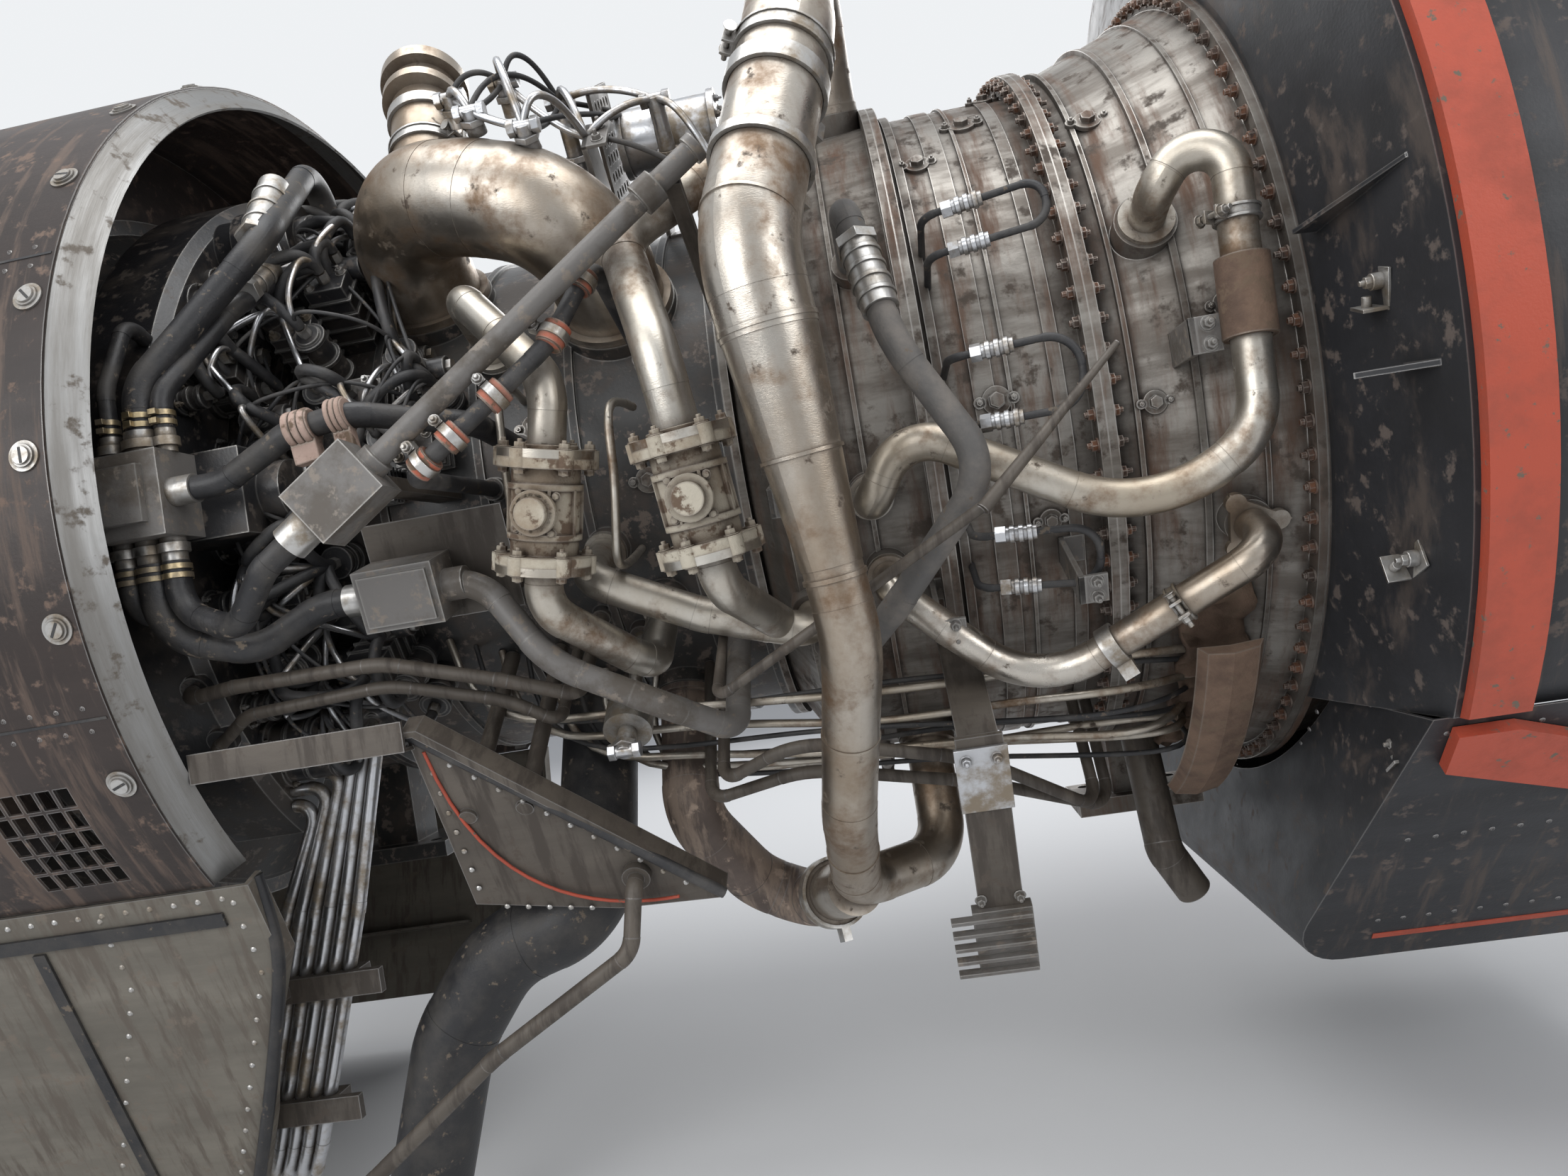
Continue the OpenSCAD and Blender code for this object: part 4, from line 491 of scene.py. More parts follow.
def worn_paint(name, colour, scuff, rough, cover):
    shade, dirt_and_shade = tuple(0.6 * c for c in colour), tuple(0.3 * c for c in colour)
    chip, bare = tuple(1.5 * c for c in scuff), (0.34, 0.33, 0.32)
    f = Finish(name, colour, rough, 0.0)
    ring = f.use(around_axis)
    along, across = f.stretched(1, 5, 5, vector=ring), f.stretched(9, 1.3, 2, vector=ring)
    f.stain(3.0, 0.5, 0.2, shade, rough + 0.1, vector=along)
    f.stain(6.0, cover, 0.07, scuff, rough + 0.18, vector=across)
    f.stain(46.0, 0.25, 0.05, chip, 0.75)
    # The corner colour is the paint's own colour darkened: grime and painted shade.
    f.grime_and_shade(0.03, 0.8, dirt_and_shade, 0.8)
    f.rub(0.002, 1.2, bare, 0.4, 0.9)
    f.bump(7, 3, 0.004, 0.2)
    f.bump(300, 2, 0.0004, 0.4)
    return f.done()


def rubber_skin(name, colour, rough, dust):
    grit = (0.16, 0.13, 0.1)
    f = Finish(name, colour, rough, 0.0)
    f.stain(18.0, 0.38, 0.14, dust, rough + 0.2)
    f.stain(70.0, 0.2, 0.03, grit, 0.9)
    f.bump(380, 3, 0.0006, 0.5)
    return f.done()


# %% [markdown]
# Each row is one material of the engine: its maker, its name, and then what that maker asks for.
# The ground colour comes first. The others are the colour of the wear, the roughness, and how
# much of the surface is worn.

# %% The materials of this engine
finish_rows = (
    (heat_tinted_steel, "duct_steel", (0.60, 0.56, 0.50), (0.36, 0.29, 0.22), 0.27, 0.5),
    (case_metal, "case_steel", (0.34, 0.32, 0.29), (0.17, 0.15, 0.13), 0.42, 0.34),
    (oily_casting, "case_dark", (0.035, 0.034, 0.033), 0.45, (0.075, 0.06, 0.05)),
    (case_metal, "hot_steel", (0.28, 0.26, 0.24), (0.16, 0.12, 0.10), 0.5, 0.36),
    (bare_fitting, "blade_titanium", (0.50, 0.51, 0.53), 0.3),
    (crusted_paint, "valve_cream", (0.58, 0.53, 0.43), (0.36, 0.29, 0.21)),
    (heat_tinted_steel, "pipe_worn", (0.66, 0.63, 0.57), (0.45, 0.39, 0.31), 0.34, 0.46),
    (worn_paint, "brown_duct", (0.16, 0.12, 0.10), (0.30, 0.23, 0.18), 0.5, 0.45),
    (bare_fitting, "fitting_steel", (0.58, 0.57, 0.55), 0.34),
    (rubber_skin, "hose_rubber", (0.022, 0.022, 0.024), 0.42, (0.06, 0.055, 0.05)),
    (rubber_skin, "braid_grey", (0.11, 0.105, 0.10), 0.6, (0.2, 0.18, 0.16)),
    (rubber_skin, "cable_black", (0.03, 0.03, 0.032), 0.5, (0.09, 0.085, 0.08)),
    (oily_casting, "gearbox_black", (0.022, 0.022, 0.024), 0.38, (0.05, 0.042, 0.036)),
    (oily_casting, "cast_grey", (0.16, 0.15, 0.14), 0.55, (0.10, 0.085, 0.07)),
    (worn_paint, "sheet_metal", (0.125, 0.105, 0.085), (0.062, 0.05, 0.04), 0.45, 0.46),
    (bare_fitting, "tube_silver", (0.62, 0.63, 0.65), 0.28),
    (brushed_aluminium, "ring_aluminium", (0.33, 0.33, 0.325), 0.4),
    (worn_paint, "cowl_paint", (0.036, 0.024, 0.020), (0.105, 0.072, 0.055), 0.4, 0.36),
    (worn_paint, "bulkhead_black", (0.028, 0.029, 0.033), (0.075, 0.06, 0.052), 0.42, 0.3),
    (rubber_skin, "seal_red", (0.47, 0.08, 0.042), 0.5, (0.36, 0.075, 0.045)),
    (worn_paint, "cream_paint", (0.21, 0.19, 0.155), (0.12, 0.10, 0.08), 0.48, 0.42),
    (rusty_iron, "bolt_rust", (0.085, 0.062, 0.05), (0.42, 0.37, 0.33)),
    (crusted_paint, "insulation", (0.20, 0.13, 0.09), (0.11, 0.07, 0.05), 0.9),
    (bare_fitting, "brass_band", (0.62, 0.50, 0.30), 0.34),
    (crusted_paint, "tape_red", (0.52, 0.12, 0.06), (0.40, 0.20, 0.15), 0.6),
    (crusted_paint, "tape_pink", (0.50, 0.36, 0.30), (0.36, 0.25, 0.20), 0.65),
)
finishes = {name: make(name, *look) for make, name, *look in finish_rows}

for row in frame["record"]["subparts"]:
    mesh = nodes[row["node"]].data
    mesh.materials.clear()
    mesh.materials.append(finishes[row["material_slot"]])
print("finishes:", len(finishes))

# %% [markdown]
# The CAD gives every large piece. What a close look at a real engine shows besides them is small
# and repeated: nuts, clamps, weld beads, fittings and wires. Each kind is a short function that
# adds its shape to one mesh, at a place given the way the engine is measured: along it, around it
# and out from its axis. Sizes are in millimetres and angles in degrees.

# %% Places and small shapes
def at(x, angle, radius):
    """A point from mm along the engine, degrees above the near side and mm from the axis."""
    turn = math.radians(angle)
    return Vector((x, -radius * math.cos(turn), radius * math.sin(turn))) * mm


def away(angle):
    turn = math.radians(angle)
    return Vector((0, -math.cos(turn), math.sin(turn)))


def facing(point, direction, side=(1, 0, 0)):
    """A place at a point in metres, with z along direction and x leaning to side."""
    z = Vector(direction).normalized()
    y = z.cross(Vector(side))
    if y.length < 1e-3:
        y = z.cross(Vector((0, 1, 0)))
    y.normalize()
    return Matrix.Translation(point) @ Matrix((y.cross(z), y, z)).transposed().to_4x4()


def station(x, angle, radius):
    """A place on the engine: local x runs along it, y up around it and z away from its axis."""
    return facing(at(x, angle, radius), away(angle))


def turned(place, angle, axis="Z"):
    return place @ Matrix.Rotation(math.radians(angle), 4, axis)


def shifted(place, x=0, y=0, z=0, turn=0):
    """The place moved in its own directions, and then turned about its z axis."""
    return turned(place @ Matrix.Translation(Vector((x, y, z)) * mm), turn)


def beside(place, angle, radius, z=0, turn=0):
    """The place moved off its z axis by radius, as one of a ring of bolts is."""
    way = math.radians(angle)
    return shifted(place, radius * math.cos(way), radius * math.sin(way), z, turn)


def drum(bm, place, radius, height, top=None, sides=24):
    """A short cylinder or cone that stands on its place."""
    bmesh.ops.create_cone(bm, cap_ends=True, segments=sides, radius1=radius * mm,
                          radius2=(radius if top is None else top) * mm, depth=height * mm,
                          matrix=shifted(place, z=height / 2))


def block(bm, place, x, y, z):
    size = Matrix.Diagonal((x * mm, y * mm, z * mm, 1))
    bmesh.ops.create_cube(bm, size=1, matrix=shifted(place, z=z / 2) @ size)


def hex_nut(bm, place, radius, height, stud=0):
    """A nut with its washer, and the end of its stud where one stands out."""
    drum(bm, place, radius * 1.3, height * 0.2, sides=12)
    drum(bm, shifted(place, z=height * 0.15), radius, height * 0.85, radius * 0.94, sides=6)
    if stud:
        thread = shifted(place, z=height * 0.6)
        drum(bm, thread, radius * 0.52, height * 0.4 + stud, radius * 0.42, sides=8)


def collar(bm, place, inner, outer, width, sides=28):
    """A ring that goes round a pipe."""
    ring = bmesh.ops.create_circle(bm, segments=sides, radius=outer * mm, matrix=place)["verts"]
    start = [e for e in bm.edges if all(v in ring for v in e.verts)]
    last, back = start, place.inverted()
    for radius, height in ((outer, width), (inner, width), (inner, 0)):
        made = bmesh.ops.extrude_edge_only(bm, edges=last)["geom"]
        for v in (g for g in made if isinstance(g, bmesh.types.BMVert)):
            local = back @ v.co
            flat = Vector((local.x, local.y, 0)).normalized() * radius * mm
            v.co = place @ Vector((flat.x, flat.y, height * mm))
        last = [g for g in made if isinstance(g, bmesh.types.BMEdge)]
    bmesh.ops.bridge_loops(bm, edges=last + start)


def piece(name, bm, slot, body="engine", bevel=0.0, smooth_below=35):
    """Makes the mesh an object with its finish, on a CAD body."""
    bmesh.ops.recalc_face_normals(bm, faces=bm.faces)
    mesh = bpy.data.meshes.new(name)
    bm.to_mesh(mesh)
    bm.free()
    made = bpy.data.objects.new(name, mesh)
    scene.collection.objects.link(made)
    mesh.shade_smooth()
    mesh.set_sharp_from_angle(angle=math.radians(smooth_below))
    mesh.materials.append(finishes[slot])
    if bevel:
        edge = made.modifiers.new("edges", "BEVEL")
        edge.width = bevel * mm
        edge.segments = 2
        edge.limit_method = "ANGLE"
        edge.angle_limit = math.radians(40)
    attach(made, body)
    print(name, len(mesh.polygons), "faces")
    return made


def wires(name, routes, radius, slot, body="engine"):
    """Thin tubes along smooth curves through given points, in metres."""
    curve = bpy.data.curves.new(name, "CURVE")
    curve.dimensions = "3D"
    curve.bevel_depth = radius * mm
    curve.bevel_resolution = 2
    curve.resolution_u = 6
    curve.use_fill_caps = True
    for route in routes:
        spline = curve.splines.new("NURBS")
        spline.points.add(len(route) - 1)
        for point, place in zip(spline.points, route):
            point.co = (*place, 1)
        spline.order_u = min(4, len(route))
        spline.use_endpoint_u = True
    made = bpy.data.objects.new(name, curve)
    scene.collection.objects.link(made)
    curve.materials.append(finishes[slot])
    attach(made, body)
    print(name, len(routes), "wires")
    return made


# %% [markdown]
# The two big case joints are what makes this engine look like one: about ninety bolts each.
# The CAD has the bolt heads. Washers, nuts on the far face and the thread ends that stand out of
# them are added here.

# %% Flange hardware
joint_a_x, joint_a_r, joint_a_bolts = -569, 429, 88
joint_b_x, joint_b_r, joint_b_bolts = -387, 485, 98
flange_t, head_h = 9, 7


def bolt_row(bm, x, radius, count, way, shape):
    """One shape for each bolt of a joint, from the top round, facing forward or aft."""
    for i in range(count):
        point = at(x, 90 - i * 360 / count, radius)
        shape(bm, facing(point, (way, 0, 0), side=(0, 0, 1)), i)


def rear_nut(bm, place, i):
    hex_nut(bm, place, 6.4, 6, stud=4 + i % 3)


def head_and_thread(bm, place, i):
    drum(bm, place, 7.6, 1.6, sides=12)
    drum(bm, shifted(place, z=head_h), 3.4, 3 + i % 3, 3.1, sides=8)


bm = bmesh.new()
bolt_row(bm, joint_a_x + flange_t, joint_a_r, joint_a_bolts, 1, rear_nut)
bolt_row(bm, joint_a_x - flange_t, joint_a_r, joint_a_bolts, -1, head_and_thread)
bolt_row(bm, joint_b_x - flange_t, joint_b_r, joint_b_bolts, -1, head_and_thread)
piece("flange_nuts", bm, "bolt_rust")

# %% [markdown]
# The hot cases carry thin hoops and closed inspection ports. A hoop is a flat ring round the
# engine, and a port is a small oval flange with a plug and two bolts.

# %% Hoops and inspection ports on the cases
# Each hoop: x, inner radius, outer radius and width
case_hoops = ((-726, 412, 418, 10), (-690, 412, 414.5, 22), (-655, 412, 415.5, 4),
              (-612, 412, 414.5, 14), (-540, 425, 433, 5), (-486, 442, 449, 7),
              (-432, 459, 465, 5), (-895, 396, 404, 6), (-812, 409, 414, 5))
bm = bmesh.new()
for x, inner, outer, width in case_hoops:
    collar(bm, facing(Vector((x, 0, 0)) * mm, (1, 0, 0)), inner, outer, width, sides=144)
piece("case_hoops", bm, "case_steel")


def inspection_port(bm, place, size):
    drum(bm, place, size, 5)
    drum(bm, shifted(place, z=4), size * 0.55, 7, sides=6)
    for side in (-1, 1):
        lug = shifted(place, x=side * size * 1.15)
        drum(bm, lug, size * 0.42, 5, sides=16)
        hex_nut(bm, shifted(lug, z=4), size * 0.26, 5, stud=2)


# Each port: x, angle, radius and size
ports = [(-668, -4, 412, 15), (-630, -22, 412, 12), (-700, 38, 412, 14), (-640, 48, 412, 16),
         (-706, -47, 412, 13), (-600, 62, 412, 13), (-520, 36, 432, 15), (-448, 2, 455, 13),
         (-520, -8, 432, 12), (-640, 100, 412, 15), (-660, 150, 412, 15), (-640, 200, 412, 15),
         (-700, 240, 412, 14), (-480, 120, 446, 14), (-480, 190, 446, 14), (-1170, 8, 330, 16),
         (-1370, 16, 330, 15), (-1050, -6, 330, 15), (-1300, 120, 330, 16), (-1100, 160, 330, 16),
         (-1200, 210, 330, 15)]
bm = bmesh.new()
for x, angle, radius, size in ports:
    inspection_port(bm, station(x, angle, radius - 1), size)
piece("inspection_ports", bm, "case_steel", bevel=0.5)

# %% [markdown]
# Both butterfly valves are bolted between pipe flanges. The real flanges are not plain discs: each
# bolt sits in a lug, and the castings carry a stiffening ring, ribs and a raised rim round the
# spindle cap.

# %% Valve lugs, bolts and rims
valve_half, valve_wall_z, cap_r = 52, 42, 15.6
lug_circle, lug_r, lug_h, lug_nut_r, first_lug = 41, 9.5, 18, 5.6, 10
rib_circle, rib_h, screw_circle = 33, 44, 25


def valve_place(x, angle, radius, lean):
    """Local y runs up along the valve's bore and z out along its spindle."""
    return shifted(station(x, angle, radius), turn=-lean)


valves = {"1": valve_place(-1121, -8, 498, 13), "2": valve_place(-965, -9, 540, -5)}


def along_bore(place, height):
    """The same place turned so that z runs along the bore."""
    return turned(shifted(place, y=height), -90, "X")


def valve_trim(place):
    bm = bmesh.new()
    for side in (-1, 1):
        face = along_bore(place, side * (valve_half + 8))
        for i in range(6):
            lug = beside(face, first_lug + i * 60, lug_circle, z=-lug_h if side > 0 else 0)
            drum(bm, lug, lug_r, lug_h, sides=16)
            hex_nut(bm, shifted(lug, z=lug_h), lug_nut_r, 6, stud=3)
            hex_nut(bm, turned(lug, 180, "X"), lug_nut_r, 6, stud=1)
        collar(bm, shifted(face, z=-2 if side > 0 else 0), 24, 30, 6)
    for i in range(8):
        angle = 22 + i * 45
        rib = beside(along_bore(place, -rib_h / 2), angle, rib_circle, turn=angle)
        block(bm, rib, 7, 3.2, rib_h)
    collar(bm, shifted(place, z=valve_wall_z - 8), cap_r, 22, 8)
    for angle in (40, 130, 220, 310):
        hex_nut(bm, beside(place, angle, screw_circle, z=valve_wall_z - 12), 3.6, 5)
    return bm


for name, place in valves.items():
    piece("valve_trim_" + name, valve_trim(place), "valve_cream", bevel=0.6)

# %% [markdown]
# The big ducts are made of lengths that are welded end to end, so raised beads cross them, and
# clamps join what has to come apart. A bead is a very thin ring. A clamp is a rolled band with a
# folded ear and a T-bolt. Both are placed by their share of the way between two bends.

# %% Weld beads and band clamps on the ducts
main_top, main_mid, main_low = at(-812, 30, 628), at(-874, 9, 643), at(-842, -22, 636)
main_fold, main_turn = at(-878, -41, 624), at(-892, -57, 612)
bleed = [at(-1297, 44.5, 472), at(-1182, 38.6, 478), at(-1066, 32, 472)]
s_low, s_high = at(-455, -12.5, 525), at(-438, 21.5, 548)
low_a, low_b = at(-672, -38.5, 520), at(-452, -24, 532)
braid_1, braid_2 = at(-790, 19, 526), at(-766, 2, 553)


def between(a, b, share):
    return a + (b - a) * share


def bead(bm, a, b, share, radius, width=3, rise=0.9):
    """A weld round the line from a to b, at a share of its length."""
    edge = between(a, b, share) - (b - a).normalized() * width * mm / 2
    collar(bm, facing(edge, b - a), radius - 1, radius + rise, width, sides=40)


def band_clamp(bm, a, b, share, radius, width, ear=(0, -1, 0)):
    """A clamp round the line from a to b, with its bolt on the side that ear points to."""
    axis = (b - a).normalized()
    place = facing(between(a, b, share) - axis * width * mm / 2, axis, side=ear)
    collar(bm, place, radius - 0.5, radius + 2, width, sides=36)
    for edge in (0, width - 2.5):
        collar(bm, shifted(place, z=edge), radius + 1.5, radius + 3.4, 2.5, sides=36)
    for side in (-1, 1):
        block(bm, shifted(place, x=radius + 6, y=side * 7), 14, 3, width)
    bolt = turned(shifted(place, x=radius + 8, y=-16, z=width / 2), -90, "X")
    drum(bm, bolt, 2.6, 36, sides=12)
    hex_nut(bm, shifted(bolt, z=24), 5, 6)
    hex_nut(bm, shifted(bolt, z=-2), 5, 5)


bm = bmesh.new()
bead(bm, bleed[0], bleed[1], 0.72, 60.4, 2)
bead(bm, main_top, main_mid, 0.9, 42.6)
bead(bm, main_mid, main_low, 0.2, 42.4, 4, 1.2)
bead(bm, main_mid, main_low, 0.52, 35.5, 3)
bead(bm, main_mid, main_low, 0.83, 27.2, 4, 1.2)
bead(bm, main_low, main_fold, 0.5, 26.6)
bead(bm, main_fold, main_turn, 0.45, 26.6)
piece("duct_weld_beads", bm, "duct_steel")

bm = bmesh.new()
band_clamp(bm, main_top, main_mid, 0.14, 43, 16, ear=(-1, -0.4, 0))
band_clamp(bm, low_a, low_b, 0.62, 17, 12)
band_clamp(bm, s_low, s_high, 0.62, 18, 12, ear=(-1, -0.5, 0))
band_clamp(bm, at(-1240, 43, 480), at(-1252, 60, 560), 0.3, 40, 14, ear=(1, -0.5, 0))
piece("duct_band_clamps", bm, "fitting_steel", bevel=0.4)

# %% [markdown]
# Each rubber hose is pushed on its port and held by two narrow bands, and the braided hose is
# crimped into a long ribbed ferrule.

# %% Hose bands and ferrules
block_x, block_a, port_r, block_w, fitting_l, port_pitch = -1521, 1, 510, 85, 24, 25


def port(x, side, out):
    """A point out from the upper (1) or lower (-1) face of the manifold block."""
    centre = at(x, block_a, port_r)
    turn = math.radians(block_a)
    return centre + side * (block_w / 2 + out) * mm * Vector((0, math.sin(turn), math.cos(turn)))


bm = bmesh.new()
# Each hose end: x, side of the block, and radius
for x, side, radius in ((block_x + 9, 1, 15), (block_x + port_pitch + 8, 1, 10.5),
                        (block_x - port_pitch, 1, 8.5), (block_x - port_pitch, -1, 12),
                        (block_x, -1, 15), (block_x + port_pitch, -1, 13)):
    outward = port(x, side, fitting_l + 99) - port(x, side, fitting_l)
    for gap in (3, 12):
        place = facing(port(x, side, fitting_l + gap), outward)
        collar(bm, place, radius - 0.3, radius + 1.3, 5.5, sides=32)
        block(bm, shifted(place, y=-radius - 3), 8, 7, 5.5)
piece("hose_bands", bm, "brass_band", bevel=0.3)


def ferrule(bm, a, b, radius, ribs):
    """A ribbed sleeve from a to b, with a hexagon at a."""
    axis = (b - a).normalized()
    length = (b - a).length / mm
    drum(bm, facing(a, axis), radius, length, sides=32)
    drum(bm, facing(a - axis * 9 * mm, axis), radius * 1.22, 10, sides=6)
    for i in range(ribs):
        place = facing(between(a, b, (i + 0.6) / (ribs + 0.6)), axis)
        collar(bm, place, radius - 1, radius + 1.6, 4, sides=32)


bm = bmesh.new()
ferrule(bm, between(braid_1, braid_2, 0.36), between(braid_1, braid_2, 0.80), 17.4, 4)
ferrule(bm, at(-1407, 33.4, 512), at(-1420, 46, 508), 17.5, 3)
ferrule(bm, at(-1430, 29, 478), at(-1424, 35, 462), 12.5, 2)
piece("hose_ferrules", bm, "fitting_steel", bevel=0.4)

# %% [markdown]
# The wire harness is held by clamps wrapped in red silicone tape, the one warm colour among the
# pipes. Each clamp is a fat sleeve, a steel strap over it and a bolted tab. A hose near the cowl
# lies in pink rubber cushions.

# %% Harness clamps
harness = [at(-1035, 17.5, 526), at(-1079, 8.6, 538), at(-1181, 0.2, 556), at(-1226, -2.6, 552)]
# Each clamp: the bends before and after it, its share of the way, and its length
clamp_spots = ((0, 1, 0.25, 15), (0, 1, 0.92, 18), (1, 2, 0.55, 17), (1, 2, 0.97, 15),
               (2, 3, 0.62, 15))


def sleeve(bm, place, radius, length):
    drum(bm, shifted(place, z=-length / 2), radius * 0.9, length, sides=20)
    for lean in (-0.32, 0, 0.3):
        layer = shifted(place, x=lean, z=lean * length - length * 0.14)
        drum(bm, layer, radius, length * 0.28, sides=20)


tapes, straps = bmesh.new(), bmesh.new()
for a, b, share, length in clamp_spots:
    axis = harness[b] - harness[a]
    place = facing(between(harness[a], harness[b], share), axis, side=(0, -1, 0))
    sleeve(tapes, place, 13.5, length + 6)
    collar(straps, shifted(place, z=-5), 13.4, 15.2, 9)
    block(straps, shifted(place, x=2, y=19, z=-5), 12, 10, 9)
    hex_nut(straps, turned(shifted(place, x=8, y=20), 90, "Y"), 4.5, 5, stud=3)
piece("harness_tapes", tapes, "tape_red")
piece("harness_straps", straps, "fitting_steel", bevel=0.4)

hose_d = [at(-1345, 4.6, 534), at(-1285, 5.4, 534)]
bm = bmesh.new()
for share, length in ((0.2, 26), (0.86, 18)):
    place = facing(between(*hose_d, share), hose_d[1] - hose_d[0], side=(0, 0, -1))
    sleeve(bm, place, 18, length)
    block(bm, shifted(place, x=24, z=-length / 2), 22, 14, length)
piece("hose_cushions", bm, "tape_pink", bevel=1.2)

# %% [markdown]
# The accessory bay is crowded. Pumps, filters and valves stand on the back of the gearbox and on
# the case behind it, and lines run from one to the next. A seeded draw sets their sizes, so every
# run gives the same bay.

# %% Accessory bay
gear_rear_x, core_r = -1530, 330
draw = random.Random(11)
castings, fittings, line_ends = bmesh.new(), bmesh.new(), []


def pod(angle, radius, size, reach):
    """A round accessory on a bolted pad, with a hexagon union on its end."""
    place = facing(at(gear_rear_x - 4, angle, radius), (1, 0, 0), side=away(angle))
    drum(castings, place, size * 1.3, 11, sides=20)
    for i in range(4):
        hex_nut(fittings, beside(place, 45 + i * 90, size * 1.12, z=10), 3.4, 5, stud=3)
    drum(castings, shifted(place, z=8), size * 0.94, reach, sides=24)
    for share in (0.35, 0.8):
        drum(castings, shifted(place, z=8 + reach * share), size * 1.04, 5, sides=24)
    drum(fittings, shifted(place, z=6 + reach), size * 0.42, 12, sides=6)
    drum(fittings, shifted(place, z=16 + reach), size * 0.26, 12, sides=16)
    line_ends.append(shifted(place, z=24 + reach).translation)


def post(x, angle, kind, height):
    """An accessory that stands on the case: a ribbed box, a ringed drum or a tee."""
    place = station(x, angle, core_r - 4)
    if kind == 0:
        block(castings, place, 46, 34, height)
        for level in range(1, 5):
            block(castings, shifted(place, z=height * level / 5), 52, 40, 3)
        for side in (-1, 1):
            hex_nut(fittings, shifted(place, x=side * 17, y=side * 11, z=height), 5, 6, stud=4)
    elif kind == 1:
        drum(castings, place, 17, height, 14)
        for level in (0.3, 0.6, 0.92):
            drum(castings, shifted(place, z=height * level), 19, 5)
    else:
        drum(castings, place, 11, height)
        across = turned(shifted(place, x=-26, z=height - 12), 90, "Y")
        drum(castings, across, 14, 52)
        for end in (0, 48):
            drum(fittings, shifted(across, z=end), 10, 10, sides=6)
    drum(fittings, shifted(place, z=height), 7, 12, sides=6)
    line_ends.append(shifted(place, z=height + 14).translation)


# Each row: radius, first angle, step and number of pods
for row_r, first, step, count in ((372, -44, 9.5, 12), (432, 15, 7, 8), (432, -44, 8, 5)):
    for i in range(count):
        angle, radius = first + i * step + draw.uniform(-2, 2), row_r + draw.uniform(-8, 8)
        pod(angle, radius, size=draw.uniform(13, 25), reach=draw.uniform(15, 78))
for i in range(46):
    post(draw.uniform(-1500, -1345), -42 + i * 2.4, i % 3, draw.uniform(26, 104))
for i in range(9):
    post(draw.uniform(-1335, -1235), 6 + i * 2.6, i % 3, draw.uniform(22, 70))
piece("bay_castings", castings, "gearbox_black", bevel=0.8)
piece("bay_fittings", fittings, "fitting_steel")

routes = []
for i, start in enumerate(line_ends):
    near = sorted(line_ends[i + 1:], key=lambda p: (p - start).length)
    for end in near[1:4]:
        middle = between(start, end, 0.5)
        out = Vector((0, middle.y, middle.z)).normalized()
        bow = out * (draw.uniform(8, 46) * mm)
        routes.append([start, start + bow * 0.7, middle + bow, end + bow * 0.8, end])
wires("bay_hoses", routes[0::3], 6.5, "cable_black")
wires("bay_lines", routes[1::3], 3.4, "tube_silver")
wires("bay_wires", routes[2::3], 2.2, "cable_black")

# %% [markdown]
# The wire loops on the burner case end in crimped silver ferrules, one on each leg.

# %% Loop ferrules
loop_foot_x, loop_end_x, loop_rise = -716, -600, 24


def on_leg(x, angle, radius, low):
    """A point on a loop's leg, which rises away from the case as it runs aft."""
    share = (x - loop_foot_x) / (loop_end_x - loop_foot_x)
    drop = 30 if low else 24
    return at(x, angle, radius - drop + loop_rise * share)


bm = bmesh.new()
# Each loop: angle of its upper leg, radius, and angle between the legs
for angle, radius, spread in ((19, 500, 5), (0.5, 520, 7.5), (-20, 500, 7)):
    for leg, low in ((angle, False), (angle - spread, True)):
        ferrule(bm, on_leg(-686, leg, radius, low), on_leg(-656, leg, radius, low), 7, 3)
piece("loop_ferrules", bm, "tube_silver")

# %% [markdown]
# Sheet metal shows how it is held: slotted studs on the cowl, rivet rows along the seams, and dark
# rubber strips where two panels meet. The slot of each stud is a thin black bar on its head,
# painted shade in place of the groove.

# %% Cowl studs, seams and rivets
cowl_r, stud_x, stud_top, stud_first, stud_step = 612, -1556, 617, -25.6, 15
seam_x, seam_l, rivet_x, rivet_step = -1813, 546, -1560, 27


def rivet(bm, place, radius=3.2):
    drum(bm, place, radius, 1.3, radius * 0.6, sides=8)


bm, slot_shades, seams, rivets = bmesh.new(), bmesh.new(), bmesh.new(), bmesh.new()
for i in range(17):
    place = station(stud_x, stud_first + stud_step * i, cowl_r)
    collar(bm, shifted(place, z=-0.3), 10.6, 14.5, 1.7, sides=32)
    # A thin black bar on the stud head: painted shade where the slot's groove is.
    block(slot_shades, shifted(place, z=stud_top - cowl_r - 0.4, turn=20 + 37 * i), 15, 2.6, 0.9)
piece("stud_washers", bm, "fitting_steel")
piece("stud_slot_shade", slot_shades, "cable_black")
for angle in (-19, 24, 68, 112, 156, 200):
    block(seams, station(seam_x, angle, cowl_r - 0.6), seam_l, 2.6, 1.2)
    for i in range(20):
        for side in (-1.1, 1.1):
            place = station(rivet_x - i * rivet_step, angle + side, cowl_r - 0.2)
            rivet(rivets, place, 2.8)
piece("cowl_seams", seams, "cable_black")
piece("cowl_rivets", rivets, "cowl_paint")

# %% [markdown]
# The bulkhead's front plate is a shallow cone, so its rivets and clips take their x from their
# radius.

# %% Bulkhead rivets and clips
plate_in, plate_out = (-382, 503), (-352, 662)  # x and radius of its inner and outer edge
plate_lean, plate_rise = -0.98, 0.19


def on_plate(angle, radius):
    share = (radius - plate_in[1]) / (plate_out[1] - plate_in[1])
    return at(plate_in[0] + share * (plate_out[0] - plate_in[0]), angle, radius)


bm = bmesh.new()
for radius, count in ((512, 84), (572, 60), (590, 60), (652, 108)):
    for i in range(count):
        angle = i * 360 / count
        turn = math.radians(angle)
        out = (plate_lean, -plate_rise * math.cos(turn), plate_rise * math.sin(turn))
        rivet(bm, facing(on_plate(angle, radius), out), 3)
piece("bulkhead_rivets", bm, "bulkhead_black")


